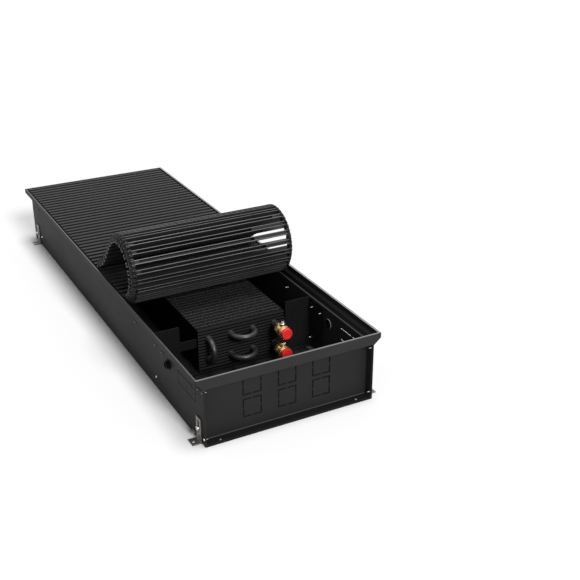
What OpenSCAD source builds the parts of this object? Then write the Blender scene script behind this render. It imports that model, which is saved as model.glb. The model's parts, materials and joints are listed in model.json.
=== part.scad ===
// Trench convector heater: an open floor trench of folded sheet with a finned heat
// exchanger inside and a roll-up grille of cross bars, rolled back from the near end.
// Millimetres. X is the width, Y the length (near end at -Y), Z up, floor at Z = 0.

/* [Casing] */
// Length of the casing over its end bands
casing_l = 1120; // [900:10:2000]
// Width of the casing across its rim
casing_w = 380; // [350:1:480]
// Height from the floor to the rim
casing_h = 140; // [138:1:180]
// Thickness of the folded steel sheet
sheet_t = 1.5; // [1:0.1:2]
// How far the shoulder carries the rim outwards
flare_out = 15; // [13:1:20]
// Height of the sloping shoulder
flare_h = 13; // [11:1:16]
// Height of the upright band round the rim
band_h = 10; // [9:1:14]
// Width of the rim seen from above
rim_w = 4; // [3:0.5:6]
// How far the end plates stand back from the end bands
end_recess = 20; // [17:1:30]
// Width of the side walls' flanges on the floor pan
pan_flange_w = 12; // [8:1:20]

/* [Knockouts] */
// Side of a square knockout in an end plate
knock_size = 36; // [20:1:40]
// Spacing of the knockouts across an end plate
knock_pitch_x = 72; // [50:1:76]
// Spacing of the two rows of knockouts
knock_pitch_z = 46; // [44:1:50]
// Height of the lower row's centre
knock_low_z = 46; // [30:1:48]
// Width of the slit round a knockout
knock_slit = 1.6; // [0.8:0.1:2]
// Width of the tabs that hold a knockout
knock_tab = 3; // [2:0.5:6]
// Length of the knockout in a side wall
side_knock_l = 81; // [40:1:100]
// Height of the knockout in a side wall
side_knock_h = 24; // [12:1:30]
// Height of the side knockout's centre
side_knock_z = 87; // [70:1:92]
// Distance of the side knockout's near edge from the near end
side_knock_in = 37; // [32:1:50]

/* [Cable grommets] */
// Radius of a grommet's cable bore
grommet_bore_r = 5; // [2.5:0.5:6]
// Radius of the wall hole that a grommet fills
grommet_neck_r = 8; // [7:0.5:9]
// Radius of a grommet's flanges
grommet_r = 10.5; // [10:0.5:14]
// How far a grommet stands out of the wall
grommet_out = 7; // [3:0.5:12]
// Gap between a grommet and the near bracket's flange on the wall
grommet_gap = 10; // [2:0.5:12]
// Height of the grommets
grommet_z = 88; // [60:1:95]

/* [Levelling feet] */
// Width of a foot's upright plate
foot_w = 20; // [16:1:28]
// Height of a foot's upright plate
foot_h = 50; // [48:1:70]
// Thickness of a foot
foot_t = 2; // [1.5:0.5:3]
// Reach of the floor tab from the wall
foot_tab_l = 18.5; // [17:0.5:30]
// Width of the floor tab
foot_tab_w = 22; // [16:1:28]
// Width of the slot in a foot
foot_slot_w = 6; // [5:0.5:8]
// Height of the clamp screws
clamp_z = 28; // [24:1:30]
// How far a foot slides down to lift the casing
foot_travel = 12; // [4:1:14]
// Radius of the anchor hole in a floor tab
anchor_r = 3.25; // [2:0.25:4]
// Distance of the anchor holes from the wall
anchor_out = 12.5; // [9:0.5:13]
// Distance of the near feet from the near end
foot_in_near = 15.5; // [15:0.5:40]
// Distance of the far feet from the far end
foot_in_far = 29; // [15:0.5:60]

/* [Heat exchanger] */
// Open bay between the near end and the fins
bay_l = 238; // [225:1:400]
// Free length between the fins and the far end
far_bay_l = 70; // [68:1:200]
// Spacing of the tube columns across the fins
col_pitch = 49; // [36:1:50]
// Spacing of the two tube rows
row_pitch = 46; // [30:1:46]
// Fin beside the outer tube columns
col_margin = 22.5; // [16:0.5:24]
// Fin above and below the tube rows
row_margin = 23.5; // [16:0.5:24]
// Left edge of the fins from the casing's middle
fin_left = 82.5; // [70:0.5:90]
// Height of the fins above the floor
fin_z = 8; // [6:0.5:12]
// Spacing of the fins
fin_pitch = 12; // [8:0.5:20]
// Thickness of a fin
fin_t = 1; // [0.6:0.1:2]
// Radius of a tube
tube_r = 6; // [4:0.5:7]
// Wall of a tube
tube_wall = 1; // [0.6:0.1:1.5]
// How far the tubes stand out of the fins
tube_proud = 4; // [2:0.5:6]
// Gap between the fins' sides and the right bracket plates
bracket_side_gap = 6.5; // [4:0.5:10]
// Gap between the fins' left side and the left bracket plates
bracket_left_gap = 36.5; // [20:0.5:40]
// Length of the near brackets' flanges along the walls
bracket_flange_near = 60; // [50:1:64]
// Length of the far brackets' flanges along the walls
bracket_flange_far = 34; // [30:0.5:34]
// Distance from the fins' end faces to the bracket plates
bracket_in = 7; // [4:0.5:10]

/* [Connections] */
// Radius of the steel stubs
stub_r = 8; // [7.5:0.5:10]
// Length of the steel stubs
stub_l = 20; // [10:1:26]
// Width across flats of a valve body's hexagon
hex_af = 24; // [22:1:28]
// Length of the hexagon
hex_l = 8; // [5:0.5:12]
// Radius of a valve body
body_r = 10; // [9.5:0.5:12]
// Length of a valve body
body_l = 12; // [11:0.5:16]
// Radius of a valve body's collar
collar_r = 13; // [12.5:0.5:15]
// Length of the collar
collar_l = 2; // [1:0.5:4]
// Radius of the threaded spigot under a cap
spigot_r = 10.5; // [8:0.5:11]
// Length of the spigot
spigot_l = 10; // [6:0.5:14]
// Radius of a cap
cap_r = 12.25; // [12.25:0.25:14]
// Thickness of a cap's front
cap_front = 1.6; // [1:0.1:3]
// Bore of the waterway through a valve body
water_r = 5; // [3:0.5:6]
// Radius of the upright boss on a valve body
boss_r = 5; // [4.5:0.5:5.5]
// Height of the boss above the valve's axis
boss_h = 12; // [12:0.5:14]
// Bore of the boss
boss_bore_r = 2.5; // [1.5:0.25:3]
// Radius of the drain plug's knob
drain_r = 7; // [5:0.5:8]
// Height of the drain plug's knob
drain_h = 4; // [3:0.5:6]
// Radius of the bleed valve
bleed_r = 4.5; // [4:0.25:6]
// Height of the bleed valve
bleed_h = 5; // [3:0.5:6]
// Radius of the bleed screw's head
bleed_screw_r = 2.8; // [2:0.1:3.5]
// Height of the bleed screw's head
bleed_screw_h = 2.2; // [1.6:0.1:3]

/* [Grille] */
// Spacing of the grille's bars
bar_pitch = 18; // [17:0.5:20]
// Height of a bar
bar_h = 18.5; // [16:0.5:19]
// Width of a bar
bar_w = 9; // [8:0.5:10]
// Wall of a bar
bar_wall = 1.3; // [0.8:0.1:1.6]
// How far the bars' tops lie below the rim
rim_drop = 0.5; // [0.2:0.1:2]
// Gap between the bars' ends and the rim
bar_end_gap = 4; // [3:0.5:8]
// Gap between the outermost bars and the end rails
end_bar_gap = 2.5; // [1.5:0.5:6]
// Length of the links at the bars' ends
link_l = 13; // [12:0.5:18]
// Length of a link's plug inside its bar
plug_l = 10; // [6:0.5:16]
// Height of a link's top above the hinge line
link_top = 2.5; // [1.5:0.1:2.8]
// Radius of a link's hinge eyes
eye_r = 2.9; // [2.4:0.1:3]
// Radius of a link's hinge pins
pin_r = 1.2; // [0.8:0.1:1.5]
// Thickness of the rubber seat strips
strip_t = 0.8; // [0.5:0.1:1.2]

/* [Roll] */
// Bars that are rolled back from the near end
roll_bars = 21; // [21:1:21]
// Bend where the roll leaves the flat grille
lead_angle = 24; // [20:0.5:26]
// Bend between bars round the roll
turn_angle = 16; // [15:0.25:16.5]
// Bars round the roll
turn_bars = 12; // [12:1:12]
// Bend between bars where the roll eases out
ease_angle = 6; // [4:0.5:8]
// Bars where the roll eases out
ease_bars = 2; // [2:1:2]
// Bend between bars where the tail runs straight
tail_angle = 1; // [0.5:0.5:2]
// Bars where the tail runs straight
tail_bars = 2; // [2:1:2]
// Gap between the roll's free end and the flat grille
roll_rest_gap = 0.6; // [0.4:0.1:2]

/* [Fits] */
// Gap between pieces that move on each other
body_gap = 0.3; // [0.2:0.05:0.5]
// Radial gap of a running or push fit
run_fit = 0.05; // [0.02:0.01:0.1]
// Gap between folded sheets that lie close together
fold_gap = 0.3; // [0.1:0.1:0.6]

/* [Screws] */
// Radius of a casing screw's head
screw_head_r = 2.6; // [2:0.1:2.8]
// Height of a casing screw's head
screw_head_h = 1.6; // [1:0.1:2.5]
// Radius of a casing screw's shank
screw_r = 1.25; // [1:0.05:1.5]
// Length of a casing screw under its head
screw_l = 8; // [6:0.5:12]
// Height of the lower casing screws
low_screw_z = 14; // [8:1:18]
// Distance of the end plates' screws from the casing's ends
end_screw_in = 5.3; // [5:0.1:8]
// Distance of the floor screws from the casing's ends
floor_screw_in = 8; // [6:0.5:10]
// Spacing of the floor screws across the casing
floor_screw_pitch = 286; // [100:1:300]
// Radius of a clamp screw's head
clamp_head_r = 4.5; // [4.2:0.1:5.5]
// Height of a clamp screw's head
clamp_head_h = 3.2; // [2:0.1:4]

/* [Hidden] */

$fn = 48;
cut = 1;
steel_black = [0.17, 0.17, 0.18];
inner_black = [0.08, 0.08, 0.085];
rim_grey = [0.32, 0.32, 0.33];
zinc = [0.72, 0.72, 0.70];
brass = [0.80, 0.62, 0.33];
chrome = [0.85, 0.85, 0.86];
cap_red = [0.85, 0.13, 0.10];
rubber_black = [0.04, 0.04, 0.04];
bar_black = [0.22, 0.22, 0.23];
link_grey = [0.27, 0.27, 0.29];

// Casing outline
half_l = casing_l / 2;
half_w = casing_w / 2;
wall_x = half_w - flare_out;
inner_x = wall_x - sheet_t;
rim_in_x = half_w - sheet_t;
shoulder_z = casing_h - band_h;
crease_z = shoulder_z - flare_h;
plate_y = half_l - end_recess;
plate_in_y = plate_y - sheet_t;
band_in_y = half_l - rim_w;
// Horizontal shift of the shoulder's line for each unit of thickness
flare_shift = sqrt(flare_out * flare_out + flare_h * flare_h) / flare_h;
// Height that a bent corner's inside moves for each unit of thickness
corner_rise = tan(atan(flare_out / flare_h) / 2);
inner_crease_z = crease_z + sheet_t * corner_rise;
// X of the shoulder's line at a height, off inwards from its outer face
function flare_x(z, off) = wall_x + (z - crease_z) * flare_out / flare_h - off * flare_shift;
// Height of the shoulder's line at an X, off inwards from its outer face
function flare_z(x, off) = crease_z + (x - wall_x + off * flare_shift) * flare_h / flare_out;
// Straight line from the inside of the crease up to the inside of the rim
lift_slope = (casing_h - inner_crease_z) / (rim_in_x - inner_x);
function lift_x(z) = inner_x + (z - inner_crease_z) / lift_slope;
function lift_z(x) = inner_crease_z + (x - inner_x) * lift_slope;

// End rails and end plates
ledge_z = crease_z + 2 * sheet_t;
plate_top = ledge_z - sheet_t;
rail_off = sheet_t + fold_gap;
rail_x = flare_x(plate_top, rail_off);
ledge_l = band_in_y - plate_in_y;
end_flange_l = end_recess - 2;
end_flange_top = crease_z - 2;

// Side and end knockouts
side_knock_y = -half_l + side_knock_in + side_knock_l / 2;
knock_cols = [-1, 0, 1];
knock_rows = [0, 1];

// Casing screws: places along a wall
top_screw_z = crease_z - screw_head_r - 4;
corner_screw_in = end_recess + 4;
bracket_screw_z = crease_z - 19;
bracket_low_screw_z = 25;
bracket_screw_off = 16;
bracket_low_screw_off = 10;
bracket_edge_off = 8;
spare_screw_in = 340;
pilot_r = screw_r + run_fit;
shank_end = 0.2;

// Feet
foot_x = wall_x + body_gap;
foot_slot_h = foot_travel + 2;
clamp_r = foot_slot_w / 2 - 0.1;
clamp_head_x = foot_x + foot_t + body_gap;
clamp_tip = 3.5;
clamp_socket_r = 2.3;
clamp_socket_d = 1.8;
foot_low_hole_z = 12;
foot_low_hole_r = 2;
foot_ear_l = 11;
foot_ear_out = 6;
foot_ear_z = 13;

// Heat exchanger
columns = 4;
rows = 2;
pack_near = -half_l + bay_l;
pack_far = half_l - far_bay_l;
pack_l = pack_far - pack_near;
pack_w = (columns - 1) * col_pitch + 2 * col_margin;
pack_h = (rows - 1) * row_pitch + 2 * row_margin;
pack_left = -fin_left;
pack_right = pack_left + pack_w;
fins = floor((pack_l - fin_t) / fin_pitch) + 1;
fin_step = (pack_l - fin_t) / (fins - 1);
sleeve_r = tube_r + 1;
tube_hole_r = tube_r + run_fit;
tube_near = pack_near - tube_proud;
tube_far = pack_far + tube_proud;
function col_x(c) = pack_left + col_margin + c * col_pitch;
function row_z(r) = fin_z + row_margin + r * row_pitch;

// Brackets, cradles and lugs
bracket_top = crease_z - 1;
bracket_near_y = pack_near + bracket_in;
bracket_far_y = pack_far - bracket_in;
bracket_right = pack_right + bracket_side_gap;
bracket_left = pack_left - bracket_left_gap;
bracket_low = 20;
grommet_y = bracket_near_y - bracket_flange_near - grommet_gap - grommet_r;
cradle_z = 2 * sheet_t;
cradle_w = 16;
lug_z = 60;
lug_h = 20;
lug_lap = 10;

// Connections on the last column of tubes
conn_x = col_x(columns - 1);
stub_end = tube_near - stub_l;
hex_end = stub_end - hex_l;
body_end = hex_end - body_l;
collar_end = body_end - collar_l;
spigot_end = collar_end - spigot_l;
cap_back = collar_end - body_gap;
cap_end = spigot_end - body_gap - cap_front;
cap_grips = 24;
cap_grip_r = 0.5;
boss_y = body_end + drain_r + 0.5;
boss_seat = boss_h + body_gap;
plug_stem_l = 5;
bleed_bore_r = 1.5;
slot_w = 0.8;
slot_d = 0.8;

// Grille
bar_x = half_w - rim_w - bar_end_gap;
bar_top_z = casing_h - rim_drop;
hinge_z = bar_top_z - bar_h / 2;
bars = floor((2 * (band_in_y - end_bar_gap) - bar_w) / bar_pitch + 0.001) + 1;
near_bar_y = -(bars - 1) * bar_pitch / 2;
flat_bars = bars - roll_bars;
first_flat_y = near_bar_y + roll_bars * bar_pitch;
channel_w = bar_w - 2 * bar_wall;
link_x = bar_x - link_l;
notch_z = eye_r + 0.5;
link_half = bar_pitch / 2 - 0.7;
eye_gap = 0.4;
recess_r = eye_r + eye_gap;
pin_end = 0.5;
plug_clear = 0.1;
plug_low = 2.2;
seat_off = sheet_t + strip_t + 0.5;
strip_low = ledge_z + 0.2;
strip_high = strip_low + 4.3;
strip_end = half_l - rim_w - 0.5;
// Links and eyes end inside the line from the crease to the rim
link_low_x = flare_x(hinge_z - bar_h / 2, seat_off);
link_tip_z = min(lift_z(bar_x) + 0.8 - hinge_z, link_top - 0.5);
eye_end = min(lift_x(hinge_z - eye_r) - 0.5, bar_x);
eye_split = (link_x + eye_end - eye_gap) / 2;

// Roll: each bar's angle and place follow the bar before it
last_turn = turn_bars + 1;
last_ease = last_turn + ease_bars;
last_tail = last_ease + tail_bars;
rest_steps = 24;
function heading(a) = [-cos(a), sin(a)];
function bend(j, back) =
    j == 1 ? lead_angle
    : j <= last_turn ? turn_angle
    : j <= last_ease ? ease_angle
    : j <= last_tail ? tail_angle
    : back;
function angle(j, back) = j == 0 ? 0 : angle(j - 1, back) + bend(j, back);
function spot(j, back) = j == 0
    ? [first_flat_y, hinge_z]
    : spot(j - 1, back)
        + bar_pitch / 2 * (heading(angle(j - 1, back)) + heading(angle(j, back)));
// Height of a rolled bar's lowest top corner, as it lies upside down
function low_corner(j, back) = spot(j, back)[1]
    + bar_h / 2 * cos(angle(j, back)) - bar_w / 2 * abs(sin(angle(j, back)));
function roll_clearance(back) =
    min([for (j = [last_ease : roll_bars]) low_corner(j, back)]) - bar_top_z;
// Back bend of the free end that lets the roll just rest over the flat bars
function rest_angle(low, high, n) = n == 0
    ? low
    : roll_clearance((low + high) / 2) < roll_rest_gap
        ? rest_angle(low, (low + high) / 2, n - 1)
        : rest_angle((low + high) / 2, high, n - 1);
back_angle = rest_angle(-14, 4, rest_steps);

// ---------------------------------------------------------------- helpers

module both_sides() {
    children();
    mirror([1, 0, 0]) children();
}

module both_ends() {
    children();
    mirror([0, 1, 0]) children();
}

// A flat shape in X and Z, drawn out along Y about the middle
module along_y(length) {
    rotate([90, 0, 0]) linear_extrude(length, center = true) children();
}

// A flat shape in Y and Z, drawn out along X from x0 to x1
module along_x(x0, x1) {
    translate([x0, 0, 0]) rotate([90, 0, 90]) linear_extrude(x1 - x0) children();
}

// Slit round a knockout, broken by a tab on each side
module knockout_slit(w, h) {
    difference() {
        square([w + knock_slit, h + knock_slit], center = true);
        square([w - knock_slit, h - knock_slit], center = true);
        square([w + 4 * knock_slit, knock_tab], center = true);
        square([knock_tab, h + 4 * knock_slit], center = true);
    }
}

// Round bar along Y from y0 to y1
module rod_y(r, y0, y1) {
    translate([0, y1, 0]) rotate([90, 0, 0]) cylinder(r = r, h = y1 - y0);
}

// Round bar along X from x0 to x1
module rod_x(r, x0, x1) {
    translate([x0, 0, 0]) rotate([0, 90, 0]) cylinder(r = r, h = x1 - x0);
}

// Pan head screw, head upwards, shank down from the origin
module pan_screw(length) {
    cylinder(r1 = screw_head_r, r2 = screw_head_r - 0.8, h = screw_head_h);
    translate([0, 0, -length]) cylinder(r = screw_r, h = length + screw_head_h / 2);
}

// ---------------------------------------------------------------- casing

module floor_pan() {
    color(inner_black)
    difference() {
        translate([-inner_x, -half_l, 0]) cube([2 * inner_x, casing_l, sheet_t]);
        both_ends() both_sides()
            translate([floor_screw_pitch / 2, -half_l + floor_screw_in, -cut])
                cylinder(r = pilot_r, h = sheet_t + 2 * cut);
    }
}

// Places of the screws in the right-hand wall, as [Y, Z]
function wall_screws() = [
    [-half_l + end_screw_in, low_screw_z],
    [-half_l + end_screw_in, top_screw_z],
    [-half_l + corner_screw_in, top_screw_z - 2],
    [bracket_near_y - bracket_low_screw_off, bracket_low_screw_z],
    [bracket_near_y - bracket_screw_off, bracket_screw_z],
    [bracket_near_y - bracket_flange_near + bracket_low_screw_off, bracket_screw_z],
    [-half_l + spare_screw_in, bracket_screw_z],
    [half_l - end_screw_in, low_screw_z],
    [half_l - end_screw_in, top_screw_z],
    [half_l - corner_screw_in, top_screw_z - 2],
    [bracket_far_y + bracket_low_screw_off, bracket_low_screw_z],
    [bracket_far_y + bracket_screw_off, bracket_screw_z],
    [bracket_far_y + bracket_flange_far - bracket_edge_off, bracket_screw_z]];

module wall_screw_holes() {
    for (at = wall_screws())
        translate([0, at[0], at[1]]) rod_x(pilot_r, inner_x - 4 * sheet_t, wall_x + cut);
}

// Right-hand wall: upright, shoulder and rim band in one folded sheet
module side_wall_sheet() {
    flange_l = 2 * (plate_in_y - 0.5);
    color(steel_black)
    difference() {
        union() {
            along_y(casing_l) polygon([
                [inner_x, 0], [wall_x, 0], [wall_x, crease_z], [half_w, shoulder_z],
                [half_w, casing_h], [rim_in_x, casing_h],
                [rim_in_x, shoulder_z + sheet_t * corner_rise],
                [inner_x, inner_crease_z]]);
            translate([inner_x - pan_flange_w, -flange_l / 2, sheet_t])
                cube([pan_flange_w + sheet_t / 2, flange_l, sheet_t]);
        }
        wall_screw_holes();
        translate([0, grommet_y, grommet_z]) rod_x(grommet_neck_r, inner_x - cut, wall_x + cut);
        translate([0, side_knock_y, side_knock_z])
            along_x(inner_x - cut, wall_x + cut) knockout_slit(side_knock_l, side_knock_h);
        for (y = [foot_slot_y(foot_in_near), -foot_slot_y(foot_in_far)])
            translate([0, y, clamp_z]) rod_x(clamp_r + run_fit, inner_x - cut, wall_x + cut);
    }
}

module side_wall_right() { side_wall_sheet(); }
module side_wall_left() { mirror([1, 0, 0]) side_wall_sheet(); }

// Near end plate with flanges turned outwards along the walls and the floor
module end_plate() {
    flange_y = -plate_y - end_flange_l;
    color(steel_black)
    difference() {
        union() {
            translate([-inner_x, -plate_y, sheet_t])
                cube([2 * inner_x, sheet_t, plate_top - sheet_t]);
            translate([-inner_x, flange_y, sheet_t])
                cube([2 * inner_x, end_flange_l + sheet_t / 2, sheet_t]);
            both_sides()
                translate([inner_x - sheet_t, flange_y, sheet_t])
                    cube([sheet_t, end_flange_l + sheet_t / 2, end_flange_top - sheet_t]);
        }
        for (c = knock_cols, r = knock_rows)
            translate([c * knock_pitch_x, -plate_y, knock_low_z + r * knock_pitch_z])
                along_y(4 * sheet_t) knockout_slit(knock_size, knock_size);
        both_sides() wall_screw_holes();
        both_sides()
            translate([floor_screw_pitch / 2, -half_l + floor_screw_in, -cut])
                cylinder(r = pilot_r, h = 2 * sheet_t + 2 * cut);
    }
}

module end_plate_near() { end_plate(); }
module end_plate_far() { mirror([0, 1, 0]) end_plate(); }

// Right-hand rim trim inside the upright band
module rim_trim() {
    color(rim_grey)
    translate([half_w - rim_w, -band_in_y, shoulder_z + sheet_t])
        cube([rim_w - sheet_t, 2 * band_in_y, band_h - sheet_t]);
}

module rim_trim_right() { rim_trim(); }
module rim_trim_left() { mirror([1, 0, 0]) rim_trim(); }

// Near end rail: band across the end and ledge over the end plate
module end_rail() {
    corner_z = flare_z(rim_in_x, rail_off);
    color(rim_grey) {
        translate([0, -half_l + rim_w / 2, 0]) along_y(rim_w) polygon([
            [-rim_in_x, casing_h], [-rim_in_x, corner_z], [-rail_x, plate_top],
            [rail_x, plate_top], [rim_in_x, corner_z], [rim_in_x, casing_h]]);
        translate([-rail_x, -band_in_y - rim_w / 2, plate_top])
            cube([2 * rail_x, ledge_l + rim_w / 2, sheet_t]);
    }
}

module end_rail_near() { end_rail(); }
module end_rail_far() { mirror([0, 1, 0]) end_rail(); }

// Rubber strips on the shoulders, under the ends of the bars
module seat_strips() {
    color(rubber_black)
    both_sides() along_y(2 * strip_end) polygon([
        [flare_x(strip_low, sheet_t), strip_low],
        [flare_x(strip_high, sheet_t), strip_high],
        [flare_x(strip_high, sheet_t + strip_t), strip_high],
        [flare_x(strip_low, sheet_t + strip_t), strip_low]]);
}

module cable_grommets() {
    color(rubber_black)
    both_sides() translate([0, grommet_y, grommet_z]) difference() {
        union() {
            rod_x(grommet_neck_r, inner_x - sheet_t, wall_x + sheet_t);
            rod_x(grommet_r, inner_x - 2, inner_x);
            rod_x(grommet_r, wall_x, wall_x + 2);
            rod_x(grommet_neck_r, wall_x, wall_x + grommet_out);
        }
        rod_x(grommet_bore_r, inner_x - 2 - cut, wall_x + grommet_out + cut);
    }
}

module casing_screws() {
    color(zinc)
    both_sides() for (at = wall_screws())
        translate([wall_x, at[0], at[1]]) rotate([0, 90, 0]) pan_screw(screw_l);
}

module floor_screws() {
    color(zinc)
    both_ends() both_sides()
        translate([floor_screw_pitch / 2, -half_l + floor_screw_in, 2 * sheet_t])
            pan_screw(2 * sheet_t - shank_end);
}

// ---------------------------------------------------------------- levelling feet

function foot_slot_y(inset) = -half_l + inset + foot_w / 2;

// Near right-hand foot, at a distance from the near end
module foot(inset) {
    y0 = -half_l + inset;
    slot_y = foot_slot_y(inset);
    color(zinc)
    difference() {
        union() {
            translate([foot_x, y0, 0]) cube([foot_t, foot_w, foot_h]);
            translate([foot_x, y0, 0]) cube([foot_tab_l, foot_tab_w, foot_t]);
            translate([foot_x, y0 + foot_w - 1, foot_ear_z])
                cube([foot_ear_out, foot_ear_l, foot_t]);
        }
        translate([0, slot_y, clamp_z])
            rod_x(foot_slot_w / 2, foot_x - cut, foot_x + foot_t + cut);
        translate([0, slot_y, clamp_z + foot_slot_h])
            rod_x(foot_slot_w / 2, foot_x - cut, foot_x + foot_t + cut);
        translate([foot_x - cut, slot_y - foot_slot_w / 2, clamp_z])
            cube([foot_t + 2 * cut, foot_slot_w, foot_slot_h]);
        translate([0, slot_y, foot_low_hole_z])
            rod_x(foot_low_hole_r, foot_x - cut, foot_x + foot_t + cut);
        translate([wall_x + anchor_out, slot_y, -cut])
            cylinder(r = anchor_r, h = foot_t + 2 * cut);
    }
}

module foot_near_right() { foot(foot_in_near); }
module foot_near_left() { mirror([1, 0, 0]) foot(foot_in_near); }
module foot_far_right() { mirror([0, 1, 0]) foot(foot_in_far); }
module foot_far_left() { mirror([1, 0, 0]) mirror([0, 1, 0]) foot(foot_in_far); }

module clamp_screw() {
    difference() {
        union() {
            rod_x(clamp_r, inner_x - clamp_tip, clamp_head_x + clamp_head_h / 2);
            rod_x(clamp_head_r, clamp_head_x, clamp_head_x + clamp_head_h);
        }
        translate([clamp_head_x + clamp_head_h - clamp_socket_d, 0, 0])
            rotate([0, 90, 0]) cylinder(r = clamp_socket_r, h = clamp_head_h, $fn = 6);
    }
}

module foot_clamp_screws() {
    color(zinc)
    both_sides() for (y = [foot_slot_y(foot_in_near), -foot_slot_y(foot_in_far)])
        translate([0, y, clamp_z]) clamp_screw();
}

// ---------------------------------------------------------------- exchanger carriers

// Bracket plate across one side of the trench, with a flange along the wall
module bracket(x_from, y, flange_y0, flange_l) {
    translate([x_from, y - sheet_t / 2, cradle_z + sheet_t])
        cube([inner_x - x_from, sheet_t, bracket_top - cradle_z - sheet_t]);
    difference() {
        translate([inner_x - sheet_t, flange_y0, bracket_low])
            cube([sheet_t, flange_l, bracket_top - bracket_low]);
        wall_screw_holes();
    }
}

module exchanger_brackets(y, flange_y0, flange_l) {
    color(inner_black) {
        bracket(bracket_right, y, flange_y0, flange_l);
        mirror([1, 0, 0]) bracket(-bracket_left, y, flange_y0, flange_l);
    }
}

module exchanger_brackets_near() {
    exchanger_brackets(bracket_near_y, bracket_near_y - bracket_flange_near, bracket_flange_near);
}

module exchanger_brackets_far() {
    exchanger_brackets(bracket_far_y, bracket_far_y, bracket_flange_far);
}

// Cradle bar across the trench, on the walls' flanges and under the fins
module cradle(y) {
    rail_y = y - cradle_w / 2;
    color(inner_black)
    difference() {
        union() {
            translate([-inner_x, rail_y, cradle_z]) cube([2 * inner_x, cradle_w, sheet_t]);
            translate([pack_left, rail_y, cradle_z])
                cube([pack_w, cradle_w, fin_z - cradle_z]);
        }
        translate([pack_left + sheet_t, rail_y + sheet_t, cradle_z - cut])
            cube([pack_w - 2 * sheet_t, cradle_w - 2 * sheet_t, fin_z - cradle_z - sheet_t + cut]);
    }
}

module cradle_near() { cradle(bracket_near_y); }
module cradle_far() { cradle(bracket_far_y); }

// Lugs from the fins' sides to the bracket plates
module pack_lugs() {
    color(inner_black)
    for (y = [bracket_near_y + sheet_t / 2, bracket_far_y - 3 * sheet_t / 2]) {
        translate([pack_right, y, lug_z])
            cube([bracket_side_gap + lug_lap, sheet_t, lug_h]);
        translate([bracket_left - lug_lap, y, lug_z])
            cube([bracket_left_gap + lug_lap, sheet_t, lug_h]);
    }
}

// ---------------------------------------------------------------- heat exchanger

module at_tubes() {
    for (c = [0 : columns - 1], r = [0 : rows - 1])
        translate([col_x(c), 0, row_z(r)]) children();
}

// Fins strung on the tubes, held apart by their sleeves
module fin_pack() {
    color(inner_black)
    difference() {
        union() {
            for (i = [0 : fins - 1])
                translate([pack_left, pack_near + i * fin_step, fin_z])
                    cube([pack_w, fin_t, pack_h]);
            at_tubes() rod_y(sleeve_r, pack_near, pack_far);
        }
        at_tubes() rod_y(tube_hole_r, pack_near - cut, pack_far + cut);
    }
}

module heat_tubes() {
    color([0.10, 0.09, 0.09])
    at_tubes() difference() {
        rod_y(tube_r, tube_near, tube_far);
        rod_y(tube_r - tube_wall, tube_near - cut, tube_far + cut);
    }
}

// Half ring of tube in the XY plane, bulging towards -Y, from x = -r to x = r
module half_bend(r) {
    rotate([0, 0, 180]) rotate_extrude(angle = 180) translate([r, 0]) difference() {
        circle(r = tube_r);
        circle(r = tube_r - tube_wall);
    }
}

// One upright bend on the first column, one level bend on each row of the next two
module return_bends_near() {
    color([0.12, 0.12, 0.125]) {
        translate([col_x(0), tube_near, (row_z(0) + row_z(1)) / 2])
            rotate([0, 90, 0]) half_bend(row_pitch / 2);
        for (r = [0 : rows - 1])
            translate([(col_x(1) + col_x(2)) / 2, tube_near, row_z(r)])
                half_bend(col_pitch / 2);
    }
}

module return_bends_far() {
    color([0.12, 0.12, 0.125])
    for (c = [0, 2], r = [0 : rows - 1])
        translate([(col_x(c) + col_x(c + 1)) / 2, tube_far, row_z(r)])
            mirror([0, 1, 0]) half_bend(col_pitch / 2);
}

// ---------------------------------------------------------------- connections

module connection_stubs() {
    color([0.09, 0.09, 0.09])
    for (r = [0 : rows - 1])
        translate([conn_x, 0, row_z(r)]) difference() {
            rod_y(stub_r, stub_end, tube_near);
            rod_y(water_r, stub_end - cut, tube_near + cut);
        }
}

// Brass body with a hexagon, a collar, a spigot for the cap and a boss on top
module valve_body(r) {
    color(brass)
    translate([conn_x, 0, row_z(r)]) difference() {
        union() {
            translate([0, stub_end, 0]) rotate([90, 0, 0])
                cylinder(r = hex_af / 2 / cos(30), h = hex_l, $fn = 6);
            rod_y(body_r, body_end, hex_end);
            rod_y(collar_r, collar_end, body_end);
            rod_y(spigot_r, spigot_end, collar_end);
            translate([0, boss_y, 0]) cylinder(r = boss_r, h = boss_h);
        }
        rod_y(water_r, spigot_end - cut, stub_end + cut);
        translate([0, boss_y, 0]) cylinder(r = boss_bore_r, h = boss_h + cut);
    }
}

module valve_body_upper() { valve_body(1); }
module valve_body_lower() { valve_body(0); }

// Chrome bleed valve, pressed into the upper boss
module bleed_valve() {
    color(chrome)
    translate([conn_x, boss_y, row_z(1) + boss_h]) difference() {
        union() {
            cylinder(r = bleed_r, h = bleed_h);
            translate([0, 0, -plug_stem_l])
                cylinder(r = boss_bore_r - run_fit, h = plug_stem_l + bleed_h / 2);
        }
        translate([0, 0, -plug_stem_l - cut])
            cylinder(r = bleed_bore_r, h = plug_stem_l + bleed_h + 2 * cut);
    }
}

module bleed_screw() {
    color(chrome)
    translate([conn_x, boss_y, row_z(1) + boss_h + bleed_h + body_gap]) difference() {
        union() {
            cylinder(r = bleed_screw_r, h = bleed_screw_h);
            translate([0, 0, -bleed_h])
                cylinder(r = bleed_bore_r - run_fit, h = bleed_h + bleed_screw_h / 2);
        }
        translate([-bleed_screw_r - cut, -slot_w / 2, bleed_screw_h - slot_d])
            cube([2 * (bleed_screw_r + cut), slot_w, slot_d + cut]);
    }
}

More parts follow.
